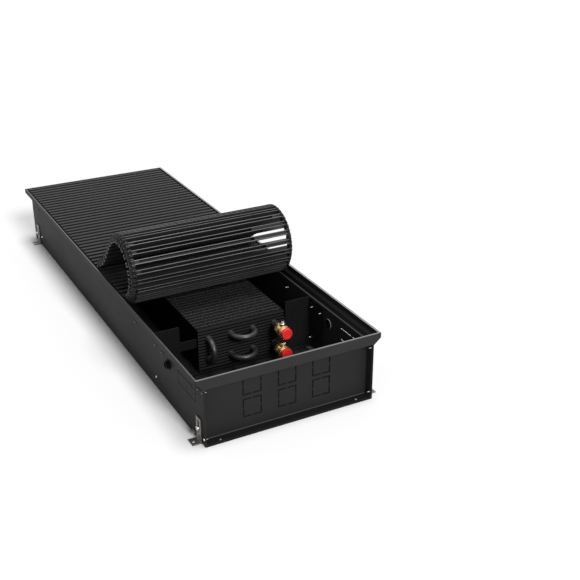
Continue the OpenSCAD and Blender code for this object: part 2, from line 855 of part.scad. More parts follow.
module drain_plug() {
    color(brass)
    translate([conn_x, boss_y, row_z(0) + boss_seat]) difference() {
        union() {
            cylinder(r = drain_r, h = drain_h);
            translate([0, 0, -plug_stem_l])
                cylinder(r = boss_bore_r - run_fit, h = plug_stem_l + drain_h / 2);
        }
        translate([-drain_r - cut, -slot_w, drain_h - slot_d])
            cube([2 * (drain_r + cut), 2 * slot_w, slot_d + cut]);
    }
}

// Red cap with grooves for the fingers, open towards the valve body
module cap(r) {
    color(cap_red)
    translate([conn_x, 0, row_z(r)]) difference() {
        rod_y(cap_r, cap_end, cap_back);
        rod_y(spigot_r + run_fit, spigot_end - body_gap, cap_back + cut);
        for (i = [1 : cap_grips])
            rotate([0, i * 360 / cap_grips, 0]) translate([cap_r, 0, 0])
                rod_y(cap_grip_r, cap_end + 2, cap_back + cut);
    }
}

module cap_upper() { cap(1); }
module cap_lower() { cap(0); }

// ---------------------------------------------------------------- grille

// One bar about its own middle: a channel open below, cut away over the links
module bar() {
    difference() {
        along_x(-bar_x, bar_x) polygon([
            [-bar_w / 2, -bar_h / 2], [-bar_w / 2, bar_h / 2], [bar_w / 2, bar_h / 2],
            [bar_w / 2, -bar_h / 2], [channel_w / 2, -bar_h / 2],
            [channel_w / 2, bar_h / 2 - bar_wall], [-channel_w / 2, bar_h / 2 - bar_wall],
            [-channel_w / 2, -bar_h / 2]]);
        both_sides() translate([link_x - eye_gap, -bar_w, -bar_h])
            cube([link_l + eye_gap + cut, 2 * bar_w, bar_h + notch_z]);
    }
}

// Link at the right-hand end of a bar: block, plug, an eye towards +Y and a pin
// towards -Y. near and far say whether a neighbour is hinged on that side.
module link(near, far) {
    near_y = near ? -link_half : -bar_w / 2;
    far_y = far ? link_half : bar_w / 2;
    hinge_y = bar_pitch / 2;
    plug_h = bar_h / 2 + link_top - plug_low;
    difference() {
        union() {
            translate([0, (near_y + far_y) / 2, 0]) along_y(far_y - near_y) polygon([
                [link_x, -bar_h / 2], [link_low_x, -bar_h / 2], [bar_x, link_tip_z],
                [bar_x, link_top], [link_x, link_top]]);
            translate([link_x - plug_l, plug_clear - channel_w / 2, plug_low - bar_h / 2])
                cube([plug_l + 1, channel_w - 2 * plug_clear, plug_h]);
            if (far) translate([0, hinge_y, 0]) rod_x(eye_r, eye_split + eye_gap, eye_end);
        }
        if (near) translate([0, -hinge_y, 0]) rod_x(recess_r, eye_split, bar_x + cut);
        if (far) translate([0, hinge_y, 0]) {
            rod_x(recess_r, link_x - cut, eye_split + eye_gap);
            rod_x(pin_r + run_fit, eye_split, bar_x + cut);
        }
    }
    if (near) translate([0, -hinge_y, 0]) {
        rod_x(eye_r, link_x, eye_split);
        rod_x(pin_r, link_x, eye_end - pin_end);
    }
}

module at_flat_bars() {
    for (i = [0 : flat_bars - 1])
        translate([0, first_flat_y + i * bar_pitch, hinge_z]) children();
}

module grille_flat_bars() {
    color(bar_black) at_flat_bars() bar();
}

module grille_flat_links() {
    color(link_grey)
    for (i = [0 : flat_bars - 1])
        translate([0, first_flat_y + i * bar_pitch, hinge_z])
            both_sides() link(true, i < flat_bars - 1);
}

// Rolled bar number j, counted from the flat part of the grille
module rolled_slat(j) {
    at = spot(j, back_angle);
    translate([0, at[0], at[1]]) rotate([-angle(j, back_angle), 0, 0]) {
        color(bar_black) bar();
        color(link_grey) both_sides() link(j < roll_bars, true);
    }
}

module slat_01() { rolled_slat(1); }
module slat_02() { rolled_slat(2); }
module slat_03() { rolled_slat(3); }
module slat_04() { rolled_slat(4); }
module slat_05() { rolled_slat(5); }
module slat_06() { rolled_slat(6); }
module slat_07() { rolled_slat(7); }
module slat_08() { rolled_slat(8); }
module slat_09() { rolled_slat(9); }
module slat_10() { rolled_slat(10); }
module slat_11() { rolled_slat(11); }
module slat_12() { rolled_slat(12); }
module slat_13() { rolled_slat(13); }
module slat_14() { rolled_slat(14); }
module slat_15() { rolled_slat(15); }
module slat_16() { rolled_slat(16); }
module slat_17() { rolled_slat(17); }
module slat_18() { rolled_slat(18); }
module slat_19() { rolled_slat(19); }
module slat_20() { rolled_slat(20); }
module slat_21() { rolled_slat(21); }

// ---------------------------------------------------------------- pieces

floor_pan();
side_wall_left();
side_wall_right();
end_plate_near();
end_plate_far();
rim_trim_left();
rim_trim_right();
end_rail_near();
end_rail_far();
seat_strips();
cable_grommets();
casing_screws();
floor_screws();
foot_near_left();
foot_near_right();
foot_far_left();
foot_far_right();
foot_clamp_screws();
exchanger_brackets_near();
exchanger_brackets_far();
cradle_near();
cradle_far();
pack_lugs();
fin_pack();
heat_tubes();
return_bends_near();
return_bends_far();
connection_stubs();
valve_body_upper();
valve_body_lower();
bleed_valve();
bleed_screw();
drain_plug();
cap_upper();
cap_lower();
grille_flat_bars();
grille_flat_links();
slat_01();
slat_02();
slat_03();
slat_04();
slat_05();
slat_06();
slat_07();
slat_08();
slat_09();
slat_10();
slat_11();
slat_12();
slat_13();
slat_14();
slat_15();
slat_16();
slat_17();
slat_18();
slat_19();
slat_20();
slat_21();
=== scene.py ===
import json
import math

import bmesh
import bpy
from mathutils import Matrix, Vector


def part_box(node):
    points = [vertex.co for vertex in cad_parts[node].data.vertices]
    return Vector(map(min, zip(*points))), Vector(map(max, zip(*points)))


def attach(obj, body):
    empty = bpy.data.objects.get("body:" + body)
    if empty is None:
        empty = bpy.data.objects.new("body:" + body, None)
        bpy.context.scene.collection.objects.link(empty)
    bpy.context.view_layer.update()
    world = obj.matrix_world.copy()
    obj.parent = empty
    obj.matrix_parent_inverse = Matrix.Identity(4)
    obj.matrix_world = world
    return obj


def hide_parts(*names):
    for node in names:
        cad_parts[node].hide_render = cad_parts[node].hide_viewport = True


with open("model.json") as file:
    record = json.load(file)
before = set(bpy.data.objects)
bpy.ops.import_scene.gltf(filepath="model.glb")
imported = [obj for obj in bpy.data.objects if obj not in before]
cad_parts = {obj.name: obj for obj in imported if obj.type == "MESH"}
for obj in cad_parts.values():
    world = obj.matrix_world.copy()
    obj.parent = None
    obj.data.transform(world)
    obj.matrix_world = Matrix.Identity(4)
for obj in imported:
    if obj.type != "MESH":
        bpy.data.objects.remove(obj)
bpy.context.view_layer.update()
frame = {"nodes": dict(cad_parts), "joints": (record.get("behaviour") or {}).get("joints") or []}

MM = 0.001
scene = bpy.context.scene
nodes = frame["nodes"]


# ---------------------------------------------------------------- measures from the CAD, in mm

def box_mm(node):
    """Lowest and highest corners of a CAD node, in millimetres."""
    low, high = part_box(node)
    return low / MM, high / MM


def solids_of(node):
    """Boxes of the separate solids in a CAD node, in millimetres."""
    bm = bmesh.new()
    bm.from_mesh(nodes[node].data)
    bmesh.ops.remove_doubles(bm, verts=bm.verts, dist=0.01 * MM)
    left = set(bm.verts)
    boxes = []
    while left:
        group, edge = set(), [next(iter(left))]
        while edge:
            v = edge.pop()
            if v in group:
                continue
            group.add(v)
            edge.extend(e.other_vert(v) for e in v.link_edges)
        left -= group
        low = Vector([min(v.co[i] for v in group) for i in range(3)]) / MM
        high = Vector([max(v.co[i] for v in group) for i in range(3)]) / MM
        boxes.append((low, high))
    bm.free()
    return sorted(boxes, key=lambda b: (round(b[0].x), round(b[0].y), round(b[0].z)))


# Casing: outer face of a side wall, its bend under the shoulder, top of an end plate's foot
WALL_X = 175.0
CREASE_Z = 117.6
FOOT_TOP = box_mm("end_plate_near")[0].z + 1.5

# Grille: a bar's section and the step from bar to bar
BAR_W, BAR_H, BAR_WALL, PITCH = 9.0, 18.5, 1.3, 18.0
FLAT_BARS = 41
flat_low, flat_high = box_mm("grille_flat_bars")
BAR_END = flat_high.x
FIRST_BAR_Y = flat_low.y + BAR_W / 2
HINGE_Z = flat_high.z - BAR_H / 2
SLANT_LOW, SLANT_TOP = 175.3, 0.9   # a bar's slanting cut: x at its foot, height where it ends
LINK_X = 169.0                      # inner end of a link
PLUG_X = LINK_X - 10                # inner end of the plug that holds it in the channel
SPLIT_X = 174.25                    # where the eyes of two neighbouring links meet

# Each rolled slat: its place and its turn about X, from its hinge and the bends before it
slat_places = []
turn = 0.0
for joint in frame["joints"]:
    if joint["child"].startswith("slat_"):
        low, high = joint["range_deg"]
        turn += high if high > 0 else low
        heading = Vector((0, -math.cos(math.radians(turn)), math.sin(math.radians(turn))))
        middle = Vector(joint["pos_m"]) / MM + heading * PITCH / 2
        middle.x = 0
        place = Matrix.Translation(middle) @ Matrix.Rotation(-math.radians(turn), 4, "X")
        slat_places.append((joint["child"], place))


# ---------------------------------------------------------------- shapes

def new_verts(bm, before):
    """What has been added to a mesh since a set of its vertices was taken."""
    return [v for v in bm.verts if v not in before]


def verts_in(geom):
    """The vertices among what an operation gives back."""
    return [g for g in geom if isinstance(g, bmesh.types.BMVert)]


def split_along(bm, point, normal, **more):
    """Cuts a whole mesh along a plane."""
    bmesh.ops.bisect_plane(bm, geom=list(bm.verts) + list(bm.edges) + list(bm.faces),
                           plane_co=point, plane_no=normal, **more)


def polygon(radius, sides, first=0.0):
    """Corners of a regular polygon, the first one some degrees away from +X."""
    turns = [math.radians(360 / sides * i + first) for i in range(sides)]
    return [(radius * math.cos(a), radius * math.sin(a)) for a in turns]


def settle(bm, verts, place=None):
    """Merges what a shape has just been made of, turns its faces outwards and places it."""
    bmesh.ops.remove_doubles(bm, verts=verts, dist=0.0005)
    verts = [v for v in verts if v.is_valid]
    faces = list({f for v in verts for f in v.link_faces})
    bmesh.ops.recalc_face_normals(bm, faces=faces)
    if place is not None:
        bmesh.ops.transform(bm, matrix=place, verts=verts)
    return verts


def round_edges(bm, edges, width, segments=2):
    """Rounds edges, or chamfers them where there is one segment."""
    bmesh.ops.bevel(bm, geom=list(edges), offset=width, offset_type="OFFSET", segments=segments,
                    profile=0.5, affect="EDGES", clamp_overlap=True, material=-1)


def prism(bm, corners, push, rounding=0.0, place=None, segments=1):
    """A solid pushed out of a flat outline."""
    before = set(bm.verts)
    face = bm.faces.new([bm.verts.new(c) for c in corners])
    pushed = bmesh.ops.extrude_face_region(bm, geom=[face])["geom"]
    bmesh.ops.translate(bm, vec=push, verts=verts_in(pushed))
    verts = settle(bm, new_verts(bm, before), place)
    if rounding:
        round_edges(bm, {e for v in verts for e in v.link_edges}, rounding, segments)
    return new_verts(bm, before)


def block(bm, low, high, rounding=0.0, place=None, segments=1):
    """A box between two corners."""
    x0, y0, z0 = low
    x1, y1, z1 = high
    return prism(bm, [(x0, y0, z0), (x1, y0, z0), (x1, y1, z0), (x0, y1, z0)],
                 (0, 0, z1 - z0), rounding, place, segments)


def lathe(bm, outline, place, steps=32):
    """Turns an outline of (radius, height) a full round about Z, then places it."""
    before = set(bm.verts)
    points = [bm.verts.new((r, 0, h)) for r, h in outline]
    edges = [bm.edges.new(pair) for pair in zip(points, points[1:])]
    bmesh.ops.spin(bm, geom=points + edges, cent=(0, 0, 0), axis=(0, 0, 1),
                   angle=2 * math.pi, steps=steps, use_merge=True)
    return settle(bm, new_verts(bm, before), place)


def ring_of(bm, points, height):
    """A closed ring of vertices and edges at one height."""
    verts = [bm.verts.new((x, y, height)) for x, y in points]
    return verts, [bm.edges.new((a, b)) for a, b in zip(verts, verts[1:] + verts[:1])]


def recessed_head(bm, radius, height, flat_radius, recess, depth, place):
    """A screw head standing on z = 0, with a recess of twelve points pressed into its top."""
    before = set(bm.verts)
    rim_edges = ring_of(bm, polygon(flat_radius, 12), height)[1]
    mouth, mouth_edges = ring_of(bm, recess, height)
    bmesh.ops.bridge_loops(bm, edges=rim_edges + mouth_edges)
    floor = bm.faces.new(mouth)
    sunk = bmesh.ops.extrude_face_region(bm, geom=[floor])["geom"]
    bmesh.ops.translate(bm, vec=(0, 0, -depth), verts=verts_in(sunk))
    edges = rim_edges
    # three rings down the domed side: shoulder, widest ring, foot
    for r, z in ((0.5 * (radius + flat_radius) + 0.08 * radius, height - 0.12 * radius),
                 (radius, height * 0.55), (radius, 0.0)):
        grown = bmesh.ops.extrude_edge_only(bm, edges=edges)["geom"]
        for v in verts_in(grown):
            flat = Vector((v.co.x, v.co.y)).normalized() * r
            v.co = (flat.x, flat.y, z)
        edges = [g for g in grown if isinstance(g, bmesh.types.BMEdge)]
    bmesh.ops.contextual_create(bm, geom=edges)
    return settle(bm, new_verts(bm, before), place)


def hex_nut(bm, radius, height, rounding, place, first=0.0):
    """A hexagon with rounded edges, standing on z = 0."""
    prism(bm, [(x, y, 0) for x, y in polygon(radius, 6, first)], (0, 0, height), rounding, place, 2)


def groove_side(bm, radius, step_deg, every, first, sunk):
    """Presses the side of a turned shape in, to a share of its radius, at one step of every few."""
    for v in bm.verts:
        step = round(math.degrees(math.atan2(v.co.y, v.co.x)) / step_deg)
        if abs(math.hypot(v.co.x, v.co.y) - radius) < 0.03 and step % every == first:
            v.co.x *= sunk
            v.co.y *= sunk


def cross_recess(length, width):
    """Twelve points round a cross."""
    points = []
    for i in range(4):
        turned = Matrix.Rotation(math.radians(90 * i), 2)
        points += [turned @ Vector(p) for p in ((length, -width), (length, width), (width, width))]
    return [tuple(p) for p in points]


def hex_recess(radius):
    """Twelve points round a hexagon, six of them halfway along its sides."""
    corners = polygon(radius, 12)
    halfway = polygon(radius * math.cos(math.radians(30)), 12)
    return [halfway[i] if i % 2 else corners[i] for i in range(12)]


def facing(point, direction):
    """A place that turns +Z towards a direction and moves the origin to a point."""
    turned = Vector((0, 0, 1)).rotation_difference(Vector(direction)).to_matrix().to_4x4()
    return Matrix.Translation(Vector(point)) @ turned


def add_copy(bm, mesh, place):
    """Adds a finished shape to a mesh, at its place."""
    before = set(bm.verts)
    bm.from_mesh(mesh)
    bmesh.ops.transform(bm, matrix=place, verts=new_verts(bm, before))


def keep_shape(name, bm):
    """Stores what was modelled as a mesh and lets go of the rest."""
    mesh = bpy.data.meshes.new(name)
    bm.to_mesh(mesh)
    bm.free()
    return mesh


def put_piece(name, bm, body, finish, stands_for=(), sharp=32, even=False):
    """Makes a finished piece of a mesh in millimetres."""
    bmesh.ops.scale(bm, vec=(MM, MM, MM), verts=bm.verts)
    mesh = keep_shape(name, bm)
    for used in finish if isinstance(finish, tuple) else (finish,):
        mesh.materials.append(used)
    mesh.polygons.foreach_set("use_smooth", [True] * len(mesh.polygons))
    mesh.set_sharp_from_angle(angle=math.radians(sharp))
    piece = bpy.data.objects.new(name, mesh)
    scene.collection.objects.link(piece)
    if even:
        piece.modifiers.new("even_shading", "WEIGHTED_NORMAL").keep_sharp = True
    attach(piece, body)
    if stands_for:
        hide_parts(*stands_for)
    return piece


# ---------------------------------------------------------------- shared surface effects

def new_group(name, inputs, outputs):
    """An empty node group with its input and output nodes."""
    group = bpy.data.node_groups.new(name, "ShaderNodeTree")
    for title, kind, value in inputs:
        group.interface.new_socket(title, in_out="INPUT", socket_type=kind).default_value = value
    for title, kind in outputs:
        group.interface.new_socket(title, in_out="OUTPUT", socket_type=kind)
    return group, group.nodes.new("NodeGroupInput"), group.nodes.new("NodeGroupOutput")


def new_mask(name, *inputs):
    """A group that reads a position and gives a mask."""
    return new_group(name, [("Vector", "NodeSocketVector", (0, 0, 0)), *inputs],
                     [("Mask", "NodeSocketFloat")])


def add_node(tree, kind, settings=None, **values):
    """A node with its settings, and with values on its inputs."""
    node = tree.nodes.new(kind)
    for key, value in (settings or {}).items():
        setattr(node, key, value)
    for key, value in values.items():
        node.inputs[key.replace("_", " ")].default_value = value
    return node


def do_math(tree, operation, first, second=0.0):
    """One sum on numbers or on other nodes' outputs."""
    node = add_node(tree, "ShaderNodeMath", {"operation": operation})
    for i, value in enumerate((first, second)):
        if isinstance(value, (int, float)):
            node.inputs[i].default_value = value
        else:
            tree.links.new(value, node.inputs[i])
    return node.outputs[0]


def in_range(tree, value, low, high, to_low=0.0, to_high=1.0):
    """Maps low..high to to_low..to_high and stops at both."""
    node = add_node(tree, "ShaderNodeMapRange", {"clamp": True}, From_Min=low, From_Max=high,
                    To_Min=to_low, To_Max=to_high)
    tree.links.new(value, node.inputs["Value"])
    return node.outputs["Result"]


def parts_of(tree, vector):
    """The X, Y and Z of a vector."""
    node = tree.nodes.new("ShaderNodeSeparateXYZ")
    tree.links.new(vector, node.inputs[0])
    return node.outputs


def upwardness(tree, low, high):
    """0 where the normal's Z is low or less, 1 where it is high or more."""
    normal = tree.nodes.new("ShaderNodeNewGeometry").outputs["Normal"]
    return in_range(tree, parts_of(tree, normal)["Z"], low, high)


def blend(tree, factor, first, second):
    """Mixes two colours, each given as four numbers or as another node's output."""
    node = add_node(tree, "ShaderNodeMix", {"data_type": "RGBA"})
    tree.links.new(factor, node.inputs["Factor"])
    for socket, colour in ((node.inputs[6], first), (node.inputs[7], second)):
        if isinstance(colour, tuple):
            socket.default_value = colour
        else:
            tree.links.new(colour, socket)
    return node.outputs[2]


def noise(tree, vector, scale, detail, roughness):
    """Soft noise from 0 to 1."""
    node = add_node(tree, "ShaderNodeTexNoise", Detail=detail, Roughness=roughness)
    if isinstance(scale, (int, float)):
        node.inputs["Scale"].default_value = scale
    else:
        tree.links.new(scale, node.inputs["Scale"])
    tree.links.new(vector, node.inputs["Vector"])
    return node.outputs["Fac"]


def build_grain():
    """Fine pebbled skin of a powder coat or moulding."""
    g, start, end = new_group("fine_grain", [("Vector", "NodeSocketVector", (0, 0, 0)),
                                             ("Scale", "NodeSocketFloat", 900.0)],
                              [("Height", "NodeSocketFloat"), ("Mask", "NodeSocketFloat")])
    fine = noise(g, start.outputs["Vector"], start.outputs["Scale"], 2.0, 0.55)
    pebbles = add_node(g, "ShaderNodeTexVoronoi", {"feature": "SMOOTH_F1"}, Smoothness=0.6)
    g.links.new(start.outputs["Vector"], pebbles.inputs["Vector"])
    g.links.new(start.outputs["Scale"], pebbles.inputs["Scale"])
    height = do_math(g, "ADD", do_math(g, "MULTIPLY", fine, 0.5),
                     do_math(g, "MULTIPLY", pebbles.outputs["Distance"], 0.5))
    g.links.new(height, end.inputs["Height"])
    g.links.new(in_range(g, fine, 0.35, 0.65), end.inputs["Mask"])
    return g


def build_patches():
    """Slow drift of tone across a surface."""
    g, start, end = new_group("tone_patches", [("Vector", "NodeSocketVector", (0, 0, 0)),
                                               ("Scale", "NodeSocketFloat", 9.0),
                                               ("Low", "NodeSocketColor", (0, 0, 0, 1)),
                                               ("High", "NodeSocketColor", (1, 1, 1, 1))],
                              [("Color", "NodeSocketColor"), ("Mask", "NodeSocketFloat")])
    drift = noise(g, start.outputs["Vector"], start.outputs["Scale"], 3.0, 0.5)
    mask = in_range(g, drift, 0.3, 0.7)
    colour = blend(g, mask, start.outputs["Low"], start.outputs["High"])
    g.links.new(colour, end.inputs["Color"])
    g.links.new(mask, end.inputs["Mask"])
    return g


def build_dust():
    """Specks of dust that lie on faces turned upwards."""
    g, start, end = new_mask("settled_dust", ("Amount", "NodeSocketFloat", 0.2))
    upward = upwardness(g, 0.3, 0.9)
    specks = in_range(g, noise(g, start.outputs["Vector"], 700.0, 3.0, 0.65), 0.56, 0.72)
    clouds = in_range(g, noise(g, start.outputs["Vector"], 22.0, 3.0, 0.6), 0.35, 0.7)
    lying = do_math(g, "MULTIPLY", upward, do_math(g, "MULTIPLY", specks, clouds))
    g.links.new(do_math(g, "MULTIPLY", lying, start.outputs["Amount"]), end.inputs["Mask"])
    return g


def build_upward():
    """How far a face is turned upwards."""
    g, _, end = new_mask("turned_up")
    g.links.new(upwardness(g, 0.88, 0.97), end.inputs["Mask"])
    return g


def build_fold_painted_highlight():
    """Painted highlight: a thin pale line just above the foot that is folded out of an end plate.
    """
    g, start, end = new_mask("fold_painted_highlight")
    above, half_width = 0.9 * MM, 0.8 * MM
    spot = parts_of(g, start.outputs["Vector"])
    reach = do_math(g, "ABSOLUTE", do_math(g, "SUBTRACT", spot["Z"], FOOT_TOP * MM + above))
    g.links.new(do_math(g, "LESS_THAN", reach, half_width), end.inputs["Mask"])
    return g


def build_crease_painted_highlight():
    """Painted highlight: a pale line along the inner bend between a side wall and its sloping
    shoulder.
    """
    g, start, end = new_mask("crease_painted_highlight")
    full, faded = 0.4 * MM, 2.2 * MM
    spot = parts_of(g, start.outputs["Vector"])
    reach = do_math(g, "ABSOLUTE", do_math(g, "SUBTRACT", spot["Z"], CREASE_Z * MM))
    inside = do_math(g, "LESS_THAN", do_math(g, "ABSOLUTE", spot["X"]), (WALL_X + 0.6) * MM)
    soft = in_range(g, reach, full, faded, 1.0, 0.0)
    g.links.new(do_math(g, "MULTIPLY", inside, soft), end.inputs["Mask"])
    return g


def build_inner_face_painted_light():
    """Painted light: the side walls' faces that look into the casing, painted paler to stand for
    the light that reaches inside.
    """
    g, start, end = new_mask("inner_face_painted_light")
    across = do_math(g, "ABSOLUTE", parts_of(g, start.outputs["Vector"])["X"])
    g.links.new(do_math(g, "LESS_THAN", across, (WALL_X - 0.8) * MM), end.inputs["Mask"])
    return g


def build_knockout_painted_shade():
    """Painted shade: dark lines round the squares that can be knocked out of the end plate,
    standing for the shade in their cut slits.
    """
    size, pitch = 36 * MM, 72 * MM          # a square, and the step from column to column
    low, rise = 46 * MM, 46 * MM            # middle of the lower row, and the step up from it
    half_line, half_tab = 1.4 * MM, 1.5 * MM
    g, start, end = new_mask("knockout_painted_shade")
    spot = parts_of(g, start.outputs["Vector"])
    column = do_math(g, "ROUND", do_math(g, "DIVIDE", spot["X"], pitch))
    across = do_math(g, "ABSOLUTE", do_math(g, "SUBTRACT", spot["X"],
                                            do_math(g, "MULTIPLY", column, pitch)))
    row = do_math(g, "GREATER_THAN", spot["Z"], low + rise / 2)
    height = do_math(g, "SUBTRACT", spot["Z"], low)
    up = do_math(g, "ABSOLUTE", do_math(g, "SUBTRACT", height, do_math(g, "MULTIPLY", row, rise)))
    reach = do_math(g, "SUBTRACT", do_math(g, "MAXIMUM", across, up), size / 2)
    line = do_math(g, "LESS_THAN", do_math(g, "ABSOLUTE", reach), half_line)
    off_tab = do_math(g, "GREATER_THAN", do_math(g, "MINIMUM", across, up), half_tab)
    in_columns = do_math(g, "LESS_THAN", do_math(g, "ABSOLUTE", column), 1.5)
    cut = do_math(g, "MULTIPLY", in_columns, do_math(g, "MULTIPLY", line, off_tab))
    g.links.new(cut, end.inputs["Mask"])
    return g


def build_drawn_lines():
    """Fine lines that drawing or brushing leaves along one direction."""
    g, start, end = new_group("drawn_lines", [("Vector", "NodeSocketVector", (0, 0, 0)),
                                              ("Stretch", "NodeSocketVector", (6, 900, 900))],
                              [("Height", "NodeSocketFloat"), ("Mask", "NodeSocketFloat")])
    scaled = g.nodes.new("ShaderNodeVectorMath")
    scaled.operation = "MULTIPLY"
    g.links.new(start.outputs["Vector"], scaled.inputs[0])
    g.links.new(start.outputs["Stretch"], scaled.inputs[1])
    lines = noise(g, scaled.outputs[0], 1.0, 3.0, 0.6)
    g.links.new(lines, end.inputs["Height"])
    g.links.new(in_range(g, lines, 0.3, 0.7), end.inputs["Mask"])
    return g


fine_grain = build_grain()
tone_patches = build_patches()
settled_dust = build_dust()
drawn_lines = build_drawn_lines()
turned_up = build_upward()
fold_painted_highlight = build_fold_painted_highlight()
crease_painted_highlight = build_crease_painted_highlight()
inner_face_painted_light = build_inner_face_painted_light()
knockout_painted_shade = build_knockout_painted_shade()


def use_group(tree, group, vector, **values):
    """Puts a shared effect into a material."""
    node = tree.nodes.new("ShaderNodeGroup")
    node.node_tree = group
    tree.links.new(vector, node.inputs["Vector"])
    for key, value in values.items():
        node.inputs[key].default_value = value
    return node


# ---------------------------------------------------------------- finishes

def start_finish(name, **shader):
    """A material with its shader, and the Object coordinates that its patterns read."""
    material = bpy.data.materials.new(name)
    material.use_nodes = True
    tree = material.node_tree
    principled = tree.nodes["Principled BSDF"]
    for key, value in shader.items():
        principled.inputs[key.replace("_", " ")].default_value = value
    place = tree.nodes.new("ShaderNodeTexCoord").outputs["Object"]
    return material, tree, principled, place


def grey(value, warm=0.0):
    """A neutral colour, warmer by some share."""
    return (value * (1 + warm), value, value * (1 - warm), 1.0)


def add_bump(tree, principled, height, strength, distance):
    """Lets a height pattern tilt the surface."""
    bump = add_node(tree, "ShaderNodeBump", Strength=strength, Distance=distance)
    tree.links.new(height, bump.inputs["Height"])
    tree.links.new(bump.outputs["Normal"], principled.inputs["Normal"])


def dusted(tree, place, colour, amount):
    """A colour with dust lying on it."""
    layer = use_group(tree, settled_dust, place, Amount=amount)
    return blend(tree, layer.outputs["Mask"], colour, (0.16, 0.155, 0.145, 1))


def set_roughness(tree, principled, tone, skin, rough, slow, fine):
    """Roughness about a value, a little off it with the tone and with the skin's grain."""
    drift = in_range(tree, tone.outputs["Mask"], 0, 1, rough - slow, rough + slow)
    spread = do_math(tree, "ADD", drift, in_range(tree, skin.outputs["Mask"], 0, 1, -fine, fine))
    tree.links.new(spread, principled.inputs["Roughness"])


def coated(name, low, high, rough, specular, grain=900.0, depth=0.00006, dust=0.15, top=None,
           inner=None, fold=None, crease=None, cuts=None):
    """Powder coat, lacquer, rubber or moulded plastic: drifting tone over a pebbled skin.

    top is the tone painted on faces turned upwards for how light falls on them (a painted highlight
    on the casing, painted shade on the end plates), inner the painted light on the walls' inner
    faces, fold the painted highlight along a plate's foot, crease the painted highlight along the
    inner bend under the shoulder and cuts the painted shade in the lines round the knockouts."""
    material, tree, principled, place = start_finish(name, Specular_IOR_Level=specular)
    tone = use_group(tree, tone_patches, place, Low=low, High=high, Scale=8.0)
    skin = use_group(tree, fine_grain, place, Scale=grain)
    set_roughness(tree, principled, tone, skin, rough, 0.03, 0.04)
    colour = tone.outputs["Color"]
    # painted light and shade laid over the paint's own tone
    for group, tint in ((inner_face_painted_light, inner), (turned_up, top), (fold_painted_highlight, fold),
                        (crease_painted_highlight, crease), (knockout_painted_shade, cuts)):
        if tint:
            mask = use_group(tree, group, place).outputs["Mask"]
            colour = blend(tree, mask, colour, grey(tint))
    tree.links.new(dusted(tree, place, colour, dust), principled.inputs["Base Color"])
    add_bump(tree, principled, skin.outputs["Height"], 0.35, depth)
    return material


def metal(name, low, high, rough, stretch, dust=0.08, metallic=1.0, **more):
    """Drawn, turned or rolled metal: fine lines along one direction."""
    material, tree, principled, place = start_finish(name, Metallic=metallic, **more)
    tone = use_group(tree, tone_patches, place, Low=low, High=high, Scale=14.0)
    lines = use_group(tree, drawn_lines, place, Stretch=stretch)
    set_roughness(tree, principled, tone, lines, rough, 0.03, 0.05)
    colour = dusted(tree, place, tone.outputs["Color"], dust)
    tree.links.new(colour, principled.inputs["Base Color"])
    add_bump(tree, principled, lines.outputs["Height"], 0.25, 0.00002)
    return material


def pale_top_painted_highlight(name, side, top, rough, stretch, metallic=1.0):
    """Dark lacquered metal whose faces turned upwards are pale, partly bare metal and partly a
    painted highlight.
    """
    material, tree, principled, place = start_finish(name, Specular_IOR_Level=0.12)
    up = use_group(tree, turned_up, place).outputs["Mask"]
    tone = use_group(tree, tone_patches, place, Low=grey(side), High=grey(side * 1.25), Scale=14.0)
    lines = use_group(tree, drawn_lines, place, Stretch=stretch)
    colour = blend(tree, up, tone.outputs["Color"], grey(top))
    tree.links.new(colour, principled.inputs["Base Color"])
    tree.links.new(in_range(tree, up, 0, 1, 0.0, metallic), principled.inputs["Metallic"])
    tree.links.new(in_range(tree, lines.outputs["Mask"], 0, 1, rough - 0.05, rough + 0.05),
                   principled.inputs["Roughness"])
    add_bump(tree, principled, lines.outputs["Height"], 0.25, 0.00002)
    return material


def galvanised(name, low, high, rough, painted_beyond=None):
    """Zinc skin with its spangle of small crystals.

    Heads that stand higher than the pan are painted over where they are further from x = 0
    than painted_beyond, in millimetres."""
    material, tree, principled, place = start_finish(name, Metallic=1.0)
    crystals = add_node(tree, "ShaderNodeTexVoronoi", Scale=420.0)
    tree.links.new(place, crystals.inputs["Vector"])
    spangle = tree.nodes.new("ShaderNodeSeparateColor")
    tree.links.new(crystals.outputs["Color"], spangle.inputs["Color"])
    tree.links.new(in_range(tree, spangle.outputs["Green"], 0, 1, rough - 0.08, rough + 0.08),
                   principled.inputs["Roughness"])
    skin = use_group(tree, fine_grain, place, Scale=1400.0)
    colour = dusted(tree, place, blend(tree, spangle.outputs["Red"], low, high), 0.1)
    if painted_beyond:
        spot, above_pan = parts_of(tree, place), 40 * MM
        far_out = do_math(tree, "GREATER_THAN", do_math(tree, "ABSOLUTE", spot["X"]),
                          painted_beyond * MM)
        high_up = do_math(tree, "GREATER_THAN", spot["Z"], above_pan)
        painted = do_math(tree, "MULTIPLY", far_out, high_up)
        colour = blend(tree, painted, colour, grey(0.02))
        tree.links.new(do_math(tree, "SUBTRACT", 1.0, painted), principled.inputs["Metallic"])
    tree.links.new(colour, principled.inputs["Base Color"])
    add_bump(tree, principled, skin.outputs["Height"], 0.3, 0.00003)
    return material


# casing paint: painted highlight on faces turned upwards and along the inner bend, painted light on
# the walls' inner faces
casing_paint = coated("casing_paint", grey(0.0128), grey(0.0155), rough=0.5, specular=0.06,
                      top=0.08, crease=0.1, inner=0.03)
# plate paint: painted shade on faces turned upwards and in the lines round the knockouts, painted
# highlight above the foot
plate_paint = coated("plate_paint", grey(0.0205), grey(0.025), rough=0.5, specular=0.07,
                     dust=0.0, top=0.013, cuts=0.0015, fold=0.11)
casing_inside = coated("casing_inside", grey(0.010), grey(0.013), rough=0.5, specular=0.16,
                       dust=0.06)
carrier_paint = coated("carrier_paint", grey(0.008), grey(0.011), rough=0.46, specular=0.12,
                       dust=0.02)
